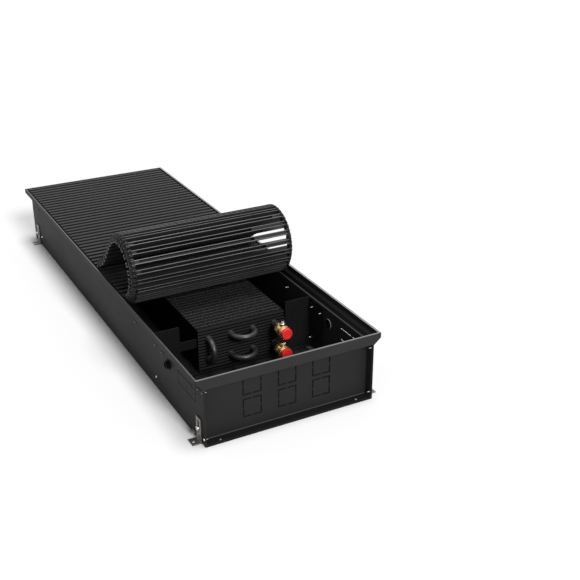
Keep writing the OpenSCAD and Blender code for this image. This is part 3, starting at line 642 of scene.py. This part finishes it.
# The four rim pieces get four finishes only to paint how light falls on each: brightest on the
# right, then the near, left and far rims (painted highlight and shade).
rim_aluminium = metal("rim_aluminium", grey(0.12), grey(0.15), rough=0.36, stretch=(900, 6, 900))
right_rim_painted_light = pale_top_painted_highlight("right_rim_painted_light", side=0.03, top=0.5, rough=0.36, stretch=(900, 6, 900))
near_rim_painted_light = pale_top_painted_highlight("near_rim_painted_light", side=0.024, top=0.24, rough=0.36,
                             stretch=(6, 900, 900))
far_rim_painted_light = pale_top_painted_highlight("far_rim_painted_light", side=0.024, top=0.1, rough=0.36,
                             stretch=(6, 900, 900))
bar_aluminium = metal("bar_aluminium", grey(0.0225), grey(0.0285), rough=0.42,
                      stretch=(5, 900, 900), metallic=0.1, Specular_IOR_Level=0.12)
# paler metal: bare on the bars' cut ends, a painted highlight on the legs' foot faces
bare_ends_and_painted_highlight = metal("bare_ends_and_painted_highlight", grey(0.13), grey(0.16), rough=0.42, stretch=(5, 900, 900),
                 metallic=0.5)
link_plastic = coated("link_plastic", grey(0.006), grey(0.009), rough=0.45, specular=0.25,
                      grain=1200.0, dust=0.05)
rubber = coated("rubber", grey(0.0015), grey(0.0025), rough=0.5, specular=0.06, grain=1600.0,
                dust=0.0)
# painted highlight for the outer ring of the grommets' inner flange
grommet_ring_painted_highlight = coated("grommet_ring_painted_highlight", grey(0.3), grey(0.36), rough=0.6, specular=0.1,
                       grain=1600.0, dust=0.0)
zinc_screws = galvanised("zinc_screws", grey(0.5, 0.02), grey(0.68, 0.02), rough=0.3)
wall_screw_zinc = galvanised("wall_screw_zinc", grey(0.5, 0.02), grey(0.68, 0.02), rough=0.3,
                             painted_beyond=WALL_X + 0.2)
zinc_plate = galvanised("zinc_plate", grey(0.15, 0.06), grey(0.24, 0.06), rough=0.4)
# fins: pale upper faces, partly bare cut edges and partly a painted highlight
fin_lacquer = pale_top_painted_highlight("fin_lacquer", side=0.0028, top=0.14, rough=0.46, stretch=(40, 900, 900),
                       metallic=0.0)
copper_lacquer = coated("copper_lacquer", grey(0.016), grey(0.02), rough=0.38, specular=0.6,
                        grain=600.0, dust=0.0)
brass = metal("brass", (0.8, 0.57, 0.29, 1), (0.89, 0.67, 0.37, 1), rough=0.36,
              stretch=(500, 30, 500), dust=0.02)
chrome = metal("chrome", grey(0.74), grey(0.82), rough=0.1, stretch=(400, 400, 60), dust=0.02)
cap_plastic = coated("cap_plastic", (0.9, 0.03, 0.026, 1), (0.96, 0.045, 0.04, 1), rough=0.32,
                     specular=0.5, grain=500.0, dust=0.02)


# ---------------------------------------------------------------- folded sheet and plates

def dress(node, finish, rounding):
    """Gives a CAD node its finish and rounds its edges a little."""
    solid = nodes[node]
    solid.data.materials.clear()
    solid.data.materials.append(finish)
    solid.modifiers.new("joined", "WELD").merge_threshold = 0.01 * MM
    edge = solid.modifiers.new("eased_edges", "BEVEL")
    edge.width = rounding * MM
    edge.segments = 2
    edge.limit_method = "ANGLE"
    edge.angle_limit = math.radians(30)
    edge.harden_normals = True


for name in ("side_wall_left", "side_wall_right"):
    dress(name, casing_paint, 0.4)
for name in ("end_plate_near", "end_plate_far"):
    dress(name, plate_paint, 0.12)
dress("floor_pan", casing_inside, 0.3)
for name in ("exchanger_brackets_near", "exchanger_brackets_far", "cradle_near", "cradle_far",
             "pack_lugs"):
    dress(name, carrier_paint, 0.35)
dress("rim_trim_left", rim_aluminium, 0.4)
dress("rim_trim_right", right_rim_painted_light, 0.4)
dress("end_rail_near", near_rim_painted_light, 0.4)
dress("end_rail_far", far_rim_painted_light, 0.4)
dress("seat_strips", rubber, 0.15)
for name in ("foot_near_left", "foot_near_right", "foot_far_left", "foot_far_right"):
    dress(name, zinc_plate, 0.3)


# ---------------------------------------------------------------- grille

def make_bar():
    """One bar about its middle: a channel open below, its walls cut off aslant at both ends."""
    bm = bmesh.new()
    out, inn = BAR_W / 2, BAR_W / 2 - BAR_WALL
    low, roof, top = -BAR_H / 2, BAR_H / 2 - BAR_WALL, BAR_H / 2
    outline = [(-out, low), (-inn, low), (-inn, roof), (inn, roof), (inn, low), (out, low),
               (out, top), (-out, top)]
    prism(bm, [(-BAR_END, y, z) for y, z in outline], (2 * BAR_END, 0, 0))
    for s in (-1, 1):
        split_along(bm, (s * SLANT_LOW, 0, low), (s * (SLANT_TOP - low), 0, SLANT_LOW - BAR_END),
                    clear_outer=True)
        bmesh.ops.holes_fill(bm, edges=[e for e in bm.edges if e.is_boundary], sides=0)
    bmesh.ops.recalc_face_normals(bm, faces=bm.faces)
    top_edges = [e for e in bm.edges if all(abs(v.co.z - top) < 0.01 for v in e.verts)]
    round_edges(bm, top_edges, 0.6, 2)
    foot_edges = [e for e in bm.edges if all(abs(v.co.z - low) < 0.01 for v in e.verts)
                  and abs(e.verts[0].co.x - e.verts[1].co.x) > 1]
    round_edges(bm, foot_edges, 0.2, 1)
    # material 1: the bars' bare cut ends and, as a painted highlight, the legs' foot faces
    for f in bm.faces:
        middle = f.calc_center_median()
        f.material_index = int(middle.z < low + 0.25 or abs(middle.x) > BAR_END - 0.1)
    return keep_shape("bar_shape", bm)


def add_link(bm, side, near, far):
    """The link at one end of a bar, with its hinge eyes and pin where a neighbour is."""
    low, top, end, foot_top = -BAR_H / 2, 2.5, BAR_END - 2.5, -3.6
    slope = (BAR_END - SLANT_LOW) / (SLANT_TOP - low)
    inset, gap = 0.8, 0.2               # behind the bar's slanting cut; beside a neighbour's eye
    flip = Matrix.Diagonal((side, 1, 1, 1))
    # the body, then its foot, which reaches further out to a neighbour
    body_end = [(end, low + (end - SLANT_LOW + inset) / slope), (end, top), (LINK_X, top)]
    foot_end = [(SLANT_LOW + (foot_top - low) * slope - inset, foot_top), (LINK_X, foot_top)]
    for reach, corners, rounding in ((5.6, body_end, 0.35), (8.3, foot_end, 0.3)):
        y0, y1 = (-reach if near else -BAR_W / 2), (reach if far else BAR_W / 2)
        outline = [(LINK_X, low), (SLANT_LOW - inset, low)] + corners
        prism(bm, [(x, y0, z) for x, z in outline], (0, y1 - y0, 0), rounding, flip)
    block(bm, (PLUG_X, -3.1, low + 2.2), (LINK_X + 1, 3.1, 4.6), 0, flip)
    for joined, s, x0, x1 in ((near, -1, LINK_X, SPLIT_X - gap),
                              (far, 1, SPLIT_X + gap, end - 0.3)):
        if joined:
            y0, y1 = sorted((s * 5.0, s * PITCH / 2))
            block(bm, (x0, y0, -2.6), (x1, y1, 2.4), 0.2, flip)
            wide = x1 - x0
            lathe(bm, [(0, 0), (2.5, 0), (2.9, 0.4), (2.9, wide - 0.4), (2.5, wide), (0, wide)],
                  flip @ facing((x0, s * PITCH / 2, 0), (1, 0, 0)), 14)
    if near:
        lathe(bm, [(0, 0), (1.2, 0), (1.2, 4.6), (0.8, 5.0), (0, 5.0)],
              flip @ facing((SPLIT_X - 0.3, -PITCH / 2, 0), (1, 0, 0)), 10)


def make_links(near, far):
    """The links at both ends of a bar."""
    bm = bmesh.new()
    for side in (-1, 1):
        add_link(bm, side, near, far)
    bmesh.ops.recalc_face_normals(bm, faces=bm.faces)
    return keep_shape("link_shape", bm)


bar_shape = make_bar()
middle_links = make_links(True, True)
first_links = make_links(False, True)
last_links = make_links(True, False)

bars, links = bmesh.new(), bmesh.new()
for i in range(FLAT_BARS):
    place = Matrix.Translation((0, FIRST_BAR_Y + i * PITCH, HINGE_Z))
    add_copy(bars, bar_shape, place)
    add_copy(links, middle_links if i < FLAT_BARS - 1 else last_links, place)
put_piece("flat_bars", bars, "grille_flat", (bar_aluminium, bare_ends_and_painted_highlight),
          ("grille_flat_bars",), even=True)
put_piece("flat_links", links, "grille_flat", link_plastic,
          ("grille_flat_links",))

for i, (name, place) in enumerate(slat_places):
    bars, links = bmesh.new(), bmesh.new()
    add_copy(bars, bar_shape, place)
    add_copy(links, middle_links if i < len(slat_places) - 1 else first_links, place)
    put_piece(name + "_bar", bars, name, (bar_aluminium, bare_ends_and_painted_highlight), (name,),
              even=True)
    put_piece(name + "_links", links, name, link_plastic, (name,))


def fill_channel(slat, from_x):
    """A strip in a bar's channel, flush with its mouth, from from_x to the right link."""
    bm = bmesh.new()
    mouth, half = -BAR_H / 2, BAR_W / 2 - BAR_WALL - 0.05
    block(bm, (from_x, -half, mouth + 0.35), (PLUG_X - 0.2, half, mouth + 3.2), 0.3,
          dict(slat_places)[slat])
    put_piece(slat + "_filler", bm, slat, link_plastic)


for slat, from_x in (("slat_06", 115), ("slat_07", 92), ("slat_08", 92), ("slat_09", 149)):
    fill_channel(slat, from_x)


# ---------------------------------------------------------------- heat exchanger

pack_low, pack_high = box_mm("fin_pack")
FIN_COUNT = 203
TUBE_R, TUBE_STEP, LEVEL_STEP = 6, 49, 46
SIDE_INSET, FOOT_INSET, PROUD = 22.5, 23.5, 4   # tubes in from the pack's side and foot, out of it
TUBE_X = [pack_low.x + SIDE_INSET + TUBE_STEP * i for i in range(4)]
TUBE_Z = [pack_low.z + FOOT_INSET + LEVEL_STEP * i for i in range(2)]
TUBE_NEAR, TUBE_FAR = pack_low.y - PROUD, pack_high.y + PROUD


def make_fin(waves, swing, thick):
    """A corrugated fin as wide and high as the pack, swinging to both sides of y = 0."""
    bm = bmesh.new()
    height = pack_high.z - pack_low.z
    count = 2 * waves
    points = [bm.verts.new((pack_low.x, swing * (-1) ** i, pack_low.z + height * i / count))
              for i in range(count + 1)]
    edges = [bm.edges.new(pair) for pair in zip(points, points[1:])]
    grown = bmesh.ops.extrude_edge_only(bm, edges=edges)["geom"]
    bmesh.ops.translate(bm, vec=(pack_high.x - pack_low.x, 0, 0), verts=verts_in(grown))
    bmesh.ops.recalc_face_normals(bm, faces=bm.faces)
    bmesh.ops.solidify(bm, geom=list(bm.faces), thickness=thick)
    bmesh.ops.recalc_face_normals(bm, faces=bm.faces)
    for v in bm.verts:
        v.co.z = min(max(v.co.z, pack_low.z), pack_high.z)
    return keep_shape("fin_shape", bm)


thin_fin = make_fin(waves=7, swing=0.45, thick=0.5)
wide_fin = make_fin(waves=7, swing=0.45, thick=1.5)
end_fin = make_fin(waves=14, swing=0.8, thick=0.8)
fins = bmesh.new()
first_y, last_y = pack_low.y + 1.5, pack_high.y - 1.5
for i in range(FIN_COUNT):
    y = first_y + (last_y - first_y) * i / (FIN_COUNT - 1)
    if i < 2 or i >= FIN_COUNT - 2:
        fin = end_fin
    else:
        fin = thin_fin if i % 3 else wide_fin
    add_copy(fins, fin, Matrix.Translation((0, y, 0)))
put_piece("pack_fins", fins, "root", fin_lacquer, ("fin_pack",), sharp=12)

tubes = bmesh.new()
length = TUBE_FAR - TUBE_NEAR
for x in TUBE_X:
    for z in TUBE_Z:
        lathe(tubes, [(5, 0), (TUBE_R, 0), (TUBE_R, length), (5, length), (5, 0)],
              facing((x, TUBE_NEAR, z), (0, 1, 0)), 24)
        # a collar drawn out of the last fin at each end
        for y, way in ((pack_low.y + 2.4, -1), (pack_high.y - 2.4, 1)):
            lathe(tubes, [(TUBE_R, 0), (7.4, 0), (7.2, 2.6), (6.6, 3.2), (TUBE_R, 3.3),
                          (TUBE_R, 0)], facing((x, y, z), (0, way, 0)), 24)
put_piece("exchanger_tubes", tubes, "root", copper_lacquer, ("heat_tubes",))


def add_bend(bm, middle, reach, way):
    """Half a ring of tube from middle - reach to middle + reach, bulging along way."""
    middle, reach, way = Vector(middle), Vector(reach), Vector(way)
    before = set(bm.verts)
    turned = facing(middle - reach, way)
    ring = bmesh.ops.create_circle(bm, cap_ends=False, segments=24, radius=TUBE_R, matrix=turned)
    edges = list({e for v in ring["verts"] for e in v.link_edges})
    axis = way.cross(reach).normalized()
    bmesh.ops.spin(bm, geom=ring["verts"] + edges, cent=middle, axis=axis, angle=math.pi,
                   steps=28, use_merge=False)
    settle(bm, new_verts(bm, before))
    # a widened sleeve at each foot
    for s in (-1, 1):
        foot = middle + s * reach
        lathe(bm, [(TUBE_R, -0.2), (6.7, 0.0), (6.7, 3.2), (6.45, 3.8), (TUBE_R, 4.0)],
              facing(foot - way * 1.5, way), 24)


near_bends, far_bends = bmesh.new(), bmesh.new()
towards_end, half_x, half_z = (0, -1, 0), TUBE_STEP / 2, LEVEL_STEP / 2
add_bend(near_bends, (TUBE_X[0], TUBE_NEAR, TUBE_Z[0] + half_z), (0, 0, half_z), towards_end)
for z in TUBE_Z:
    add_bend(near_bends, (TUBE_X[1] + half_x, TUBE_NEAR, z), (half_x, 0, 0), towards_end)
    for x in (TUBE_X[0], TUBE_X[2]):
        add_bend(far_bends, (x + half_x, TUBE_FAR, z), (half_x, 0, 0), (0, 1, 0))
put_piece("near_bends", near_bends, "root", copper_lacquer,
          ("return_bends_near",))
put_piece("far_bends", far_bends, "root", copper_lacquer,
          ("return_bends_far",))


# ---------------------------------------------------------------- connections

CONN_X = TUBE_X[3]
STUB_END = TUBE_NEAR - 20
BODY_END = STUB_END - 20            # end of a valve's barrel; its collar and spigot follow
COLLAR_END, SPIGOT_END = BODY_END - 2, BODY_END - 12
BOSS_Y = sum(corner.y for corner in box_mm("bleed_screw")) / 2
BOSS_TOP = 12
CAP_R = 11.8


def on_boss(z):
    """The place of a shape on the bosses' upright axis, at a height."""
    return facing((CONN_X, BOSS_Y, z), (0, 0, 1))


stubs = bmesh.new()
for z in TUBE_Z:
    lathe(stubs, [(5, 0), (7.4, 0), (8, 0.6), (8, 17.4), (8, 20), (5, 20), (5, 0)],
          facing((CONN_X, TUBE_NEAR, z), towards_end), 28)
put_piece("pipe_stubs", stubs, "root", copper_lacquer, ("connection_stubs",))


def make_valve(z):
    """Brass body: chamfered hexagon, turned barrel with rings, collar, threaded spigot, boss."""
    bm = bmesh.new()
    place = facing((CONN_X, STUB_END, z), towards_end)
    hex_nut(bm, 12 / math.cos(math.radians(30)), 8, 0.7, place)
    outline = [(5, 0.2), (9.4, 0.2), (9.4, 7.8), (10, 8.4), (10, 12.4), (9.3, 12.9), (9.3, 14.1),
               (10, 14.6), (10, 19.6), (12.6, 20), (13, 20.4), (13, 21.6), (12.6, 22)]
    threads, threaded = 6, 9.0
    for i in range(threads):
        start = 22.2 + i * threaded / threads
        outline += [(9.7, start), (10.5, start + 0.7)]
    outline += [(9.7, 31.5), (9.2, 32), (5, 32), (5, 0.2)]
    lathe(bm, outline, place, 40)
    lathe(bm, [(2.5, 6), (5, 6), (5, 11.2), (4.4, BOSS_TOP), (2.5, BOSS_TOP), (2.5, 6)],
          on_boss(z), 28)
    lathe(bm, [(4.9, 9.4), (5.8, 9.6), (5.8, 10.3), (4.9, 10.5)], on_boss(z), 28)
    return bm


for level, z in (("upper", TUBE_Z[1]), ("lower", TUBE_Z[0])):
    put_piece(level + "_valve", make_valve(z), "root", brass, ("valve_body_" + level,),
              even=True)

bleed_low, bleed_high = TUBE_Z[1] + BOSS_TOP, TUBE_Z[1] + BOSS_TOP + 5
bm = bmesh.new()
hex_nut(bm, 6.4, 3.6, 0.5, on_boss(bleed_low), first=15)
lathe(bm, [(1.5, 3.4), (5.2, 3.4), (5.4, 3.7), (5.2, 4.3), (4.4, 5.0), (1.5, 5.0), (1.5, 3.4)],
      on_boss(bleed_low), 24)
put_piece("bleed_nut", bm, "root", chrome, ("bleed_valve",), even=True)


def put_knob(name, body, finish, radius, height, grips, slot_width, place, node):
    """Round knob with a grooved side, cut across by a screwdriver slot."""
    bm = bmesh.new()
    lathe(bm, [(0, -4), (1.4, -4), (1.4, 0), (radius * 0.9, 0), (radius, 0.3),
               (radius, height - 0.5), (radius - 0.45, height), (0, height)],
          Matrix.Identity(4), grips * 2)
    groove_side(bm, radius, step_deg=180 / grips, every=2, first=1, sunk=0.95)
    # the slot: two cuts along X, then the strip between them is pressed in
    half, slot_depth = slot_width / 2, 0.8
    for y in (-half, half):
        split_along(bm, (0, y, 0), (0, 1, 0))
    strip = [f for f in bm.faces if f.normal.z > 0.9 and abs(f.calc_center_median().y) < half
             and f.calc_center_median().z > height - 0.1]
    grown = bmesh.ops.extrude_face_region(bm, geom=strip)["geom"]
    bmesh.ops.translate(bm, vec=(0, 0, -slot_depth), verts=verts_in(grown))
    bmesh.ops.recalc_face_normals(bm, faces=bm.faces)
    bmesh.ops.transform(bm, matrix=place, verts=bm.verts)
    put_piece(name, bm, body, finish, (node,))


put_knob("bleed_key_screw", "bleed_screw", chrome, radius=3.6, height=2.6, grips=12,
         slot_width=1.0, place=on_boss(bleed_high + 0.3), node="bleed_screw")
put_knob("drain_knob", "drain_plug", brass, radius=7.0, height=4.0, grips=18,
         slot_width=1.6, place=on_boss(TUBE_Z[0] + BOSS_TOP + 0.3), node="drain_plug")


def make_cap(z):
    """Red cap: ring and button raised on its front, grooved side, open towards the valve."""
    bm = bmesh.new()
    back, front = COLLAR_END - 4.2, SPIGOT_END - 1.9
    long = back - front
    outline = [(0, long - 2.6), (10.6, long - 2.6), (10.6, 0), (11.5, 0), (CAP_R, 0.4),
               (CAP_R, long - 1.6), (11.2, long - 0.4), (10.2, long), (7.7, long),
               (7.3, long - 1.4), (5.3, long - 1.4), (4.9, long - 0.2), (1.9, long - 0.2),
               (1.6, long - 1.0), (0, long - 1.0)]
    lathe(bm, outline, Matrix.Identity(4), 72)
    groove_side(bm, CAP_R, step_deg=5, every=3, first=0, sunk=0.962)
    bmesh.ops.transform(bm, matrix=facing((CONN_X, back, z), towards_end), verts=bm.verts)
    return bm


for level, z in (("upper", TUBE_Z[1]), ("lower", TUBE_Z[0])):
    put_piece(level + "_cap", make_cap(z), "cap_" + level, cap_plastic,
              ("cap_" + level,))


# ---------------------------------------------------------------- screws and grommets

def threaded_shank(bm, radius, length, turns, place, steps=12):
    """Thread with a tapered tip, running down from z = 0."""
    threaded = length * 0.88
    step = threaded / turns
    outline = [(0, 0.3), (radius * 0.8, 0.3), (radius * 0.8, 0)]
    for i in range(turns):
        outline += [(radius * 0.78, -(i + 0.3) * step), (radius, -(i + 0.65) * step)]
    outline += [(radius * 0.75, -threaded), (radius * 0.35, -length), (0, -length)]
    lathe(bm, outline, place, steps)


def make_pan_screw(length, turns):
    """A small screw with a cross in its domed head."""
    bm = bmesh.new()
    recessed_head(bm, radius=2.6, height=1.6, flat_radius=1.7, recess=cross_recess(1.25, 0.3),
                  depth=0.8, place=Matrix.Identity(4))
    threaded_shank(bm, 1.25, length, turns, Matrix.Identity(4))
    return keep_shape("pan_screw", bm)


def spots_of(node):
    """Side, middle and furthest reach along X of each separate solid in a CAD node."""
    return [(1 if low.x > 0 else -1, (low + high) / 2, max(abs(low.x), abs(high.x)))
            for low, high in solids_of(node)]


# each head is turned by an angle that comes from its place, as if driven in by hand
pan_screw = make_pan_screw(length=8, turns=9)
short_screw = make_pan_screw(length=2.8, turns=3)
screws = bmesh.new()
for side, middle, _ in spots_of("casing_screws"):
    turned = Matrix.Rotation(math.radians(31 * (middle.y + middle.z)), 4, "Z")
    place = facing((side * WALL_X, middle.y, middle.z), (side, 0, 0))
    add_copy(screws, pan_screw, place @ turned)
put_piece("wall_screws", screws, "root", wall_screw_zinc, ("casing_screws",))

screws, flange_top = bmesh.new(), 3.0
for _, middle, _ in spots_of("floor_screws"):
    turned = Matrix.Rotation(math.radians(17 * middle.x + middle.y), 4, "Z")
    place = facing((middle.x, middle.y, flange_top), (0, 0, 1))
    add_copy(screws, short_screw, place @ turned)
put_piece("pan_floor_screws", screws, "root", zinc_screws, ("floor_screws",))

clamps, head_height, shank_end = bmesh.new(), 3.2, 170.0
for side, middle, reach in spots_of("foot_clamp_screws"):
    head = reach - head_height
    place = facing((side * head, middle.y, middle.z), (side, 0, 0))
    recessed_head(clamps, radius=4.5, height=head_height, flat_radius=3.6, recess=hex_recess(2.3),
                  depth=1.8, place=place)
    threaded_shank(clamps, 2.9, head - shank_end, 9, place, steps=16)
put_piece("foot_clamps", clamps, "root", zinc_screws, ("foot_clamp_screws",))

# the outer ring of a grommet's inner flange is painted pale: a painted highlight
grommets, inner_end, highlight_from = bmesh.new(), 171.5, 9.9
outline = [(5, 0.6), (5.6, 0), (9.8, 0), (10.5, 0.7), (10.5, 1.3), (9.8, 2), (8, 2), (8, 3.5),
           (9.8, 3.5), (10.5, 4.1), (10.5, 4.8), (9.9, 5.5), (8.3, 5.6), (8, 6.2), (7.6, 9.8),
           (7.1, 10.5), (5.6, 10.5), (5, 9.9), (5, 0.6)]
for side, middle, _ in spots_of("cable_grommets"):
    place = facing((side * inner_end, middle.y, middle.z), (side, 0, 0))
    verts = lathe(grommets, outline, place, 36)
    for face in {face for vert in verts for face in vert.link_faces}:
        spot = face.calc_center_median()
        off_axis = math.hypot(spot.y - middle.y, spot.z - middle.z)
        if abs(spot.x) < inner_end + 1.3 and off_axis > highlight_from:
            face.material_index = 1
put_piece("wall_grommets", grommets, "root", (rubber, grommet_ring_painted_highlight),
          ("cable_grommets",))


# ---------------------------------------------------------------- floor, light and camera

def looked_at(tree):
    """1 for rays that a viewer sees, straight, mirrored or through something, 0 for the rest."""
    rays = tree.nodes.new("ShaderNodeLightPath").outputs
    return do_math(tree, "MAXIMUM", rays["Is Camera Ray"],
                   do_math(tree, "MAXIMUM", rays["Is Glossy Ray"], rays["Is Transmission Ray"]))


def make_floor():
    """White floor just under the object, less bright for the light that it throws back."""
    material, tree, principled, _ = start_finish("studio_floor", Specular_IOR_Level=0.0,
                                                 Roughness=1.0)
    colour = blend(tree, looked_at(tree), grey(0.8), grey(1.0))
    tree.links.new(colour, principled.inputs["Base Color"])
    bm = bmesh.new()
    bmesh.ops.create_grid(bm, x_segments=1, y_segments=1, size=15.0)
    bmesh.ops.translate(bm, vec=(0, 0, -0.5 * MM), verts=bm.verts)
    mesh = keep_shape("studio_floor", bm)
    mesh.materials.append(material)
    floor = bpy.data.objects.new("studio_floor", mesh)
    scene.collection.objects.link(floor)


def make_world(level):
    """White surroundings that light the object with less than they show."""
    world = bpy.data.worlds.new("studio")
    scene.world = world
    world.use_nodes = True
    tree = world.node_tree
    back = tree.nodes["Background"]
    back.inputs["Color"].default_value = grey(1.0)
    tree.links.new(in_range(tree, looked_at(tree), 0, 1, level, 1.0), back.inputs["Strength"])


def make_sun(name, direction, strength, width):
    """A distant lamp; its width in degrees makes the shadows soft."""
    lamp = bpy.data.lights.new(name, "SUN")
    lamp.energy = strength
    lamp.angle = math.radians(width)
    sun = bpy.data.objects.new(name, lamp)
    sun.rotation_euler = Vector(direction).to_track_quat("-Z", "Y").to_euler()
    scene.collection.objects.link(sun)


make_floor()
make_world(level=0.22)
make_sun("overhead_lamp", direction=(-0.11, 0.06, -1.0), strength=1.5, width=25)
make_sun("front_lamp", direction=(-0.02, 0.85, -0.55), strength=2.0, width=16)

# the camera that the casing's edges give
camera_data = bpy.data.cameras.new("camera")
camera_data.lens = 60.68
camera_data.sensor_width = 36
camera_data.clip_end = 60
camera = bpy.data.objects.new("camera", camera_data)
camera.location = (-0.73277, -1.90758, 0.99922)
camera.rotation_euler = (math.radians(64.619), 0, math.radians(-28.3755))
scene.collection.objects.link(camera)
scene.camera = camera
scene.view_settings.view_transform = "Standard"
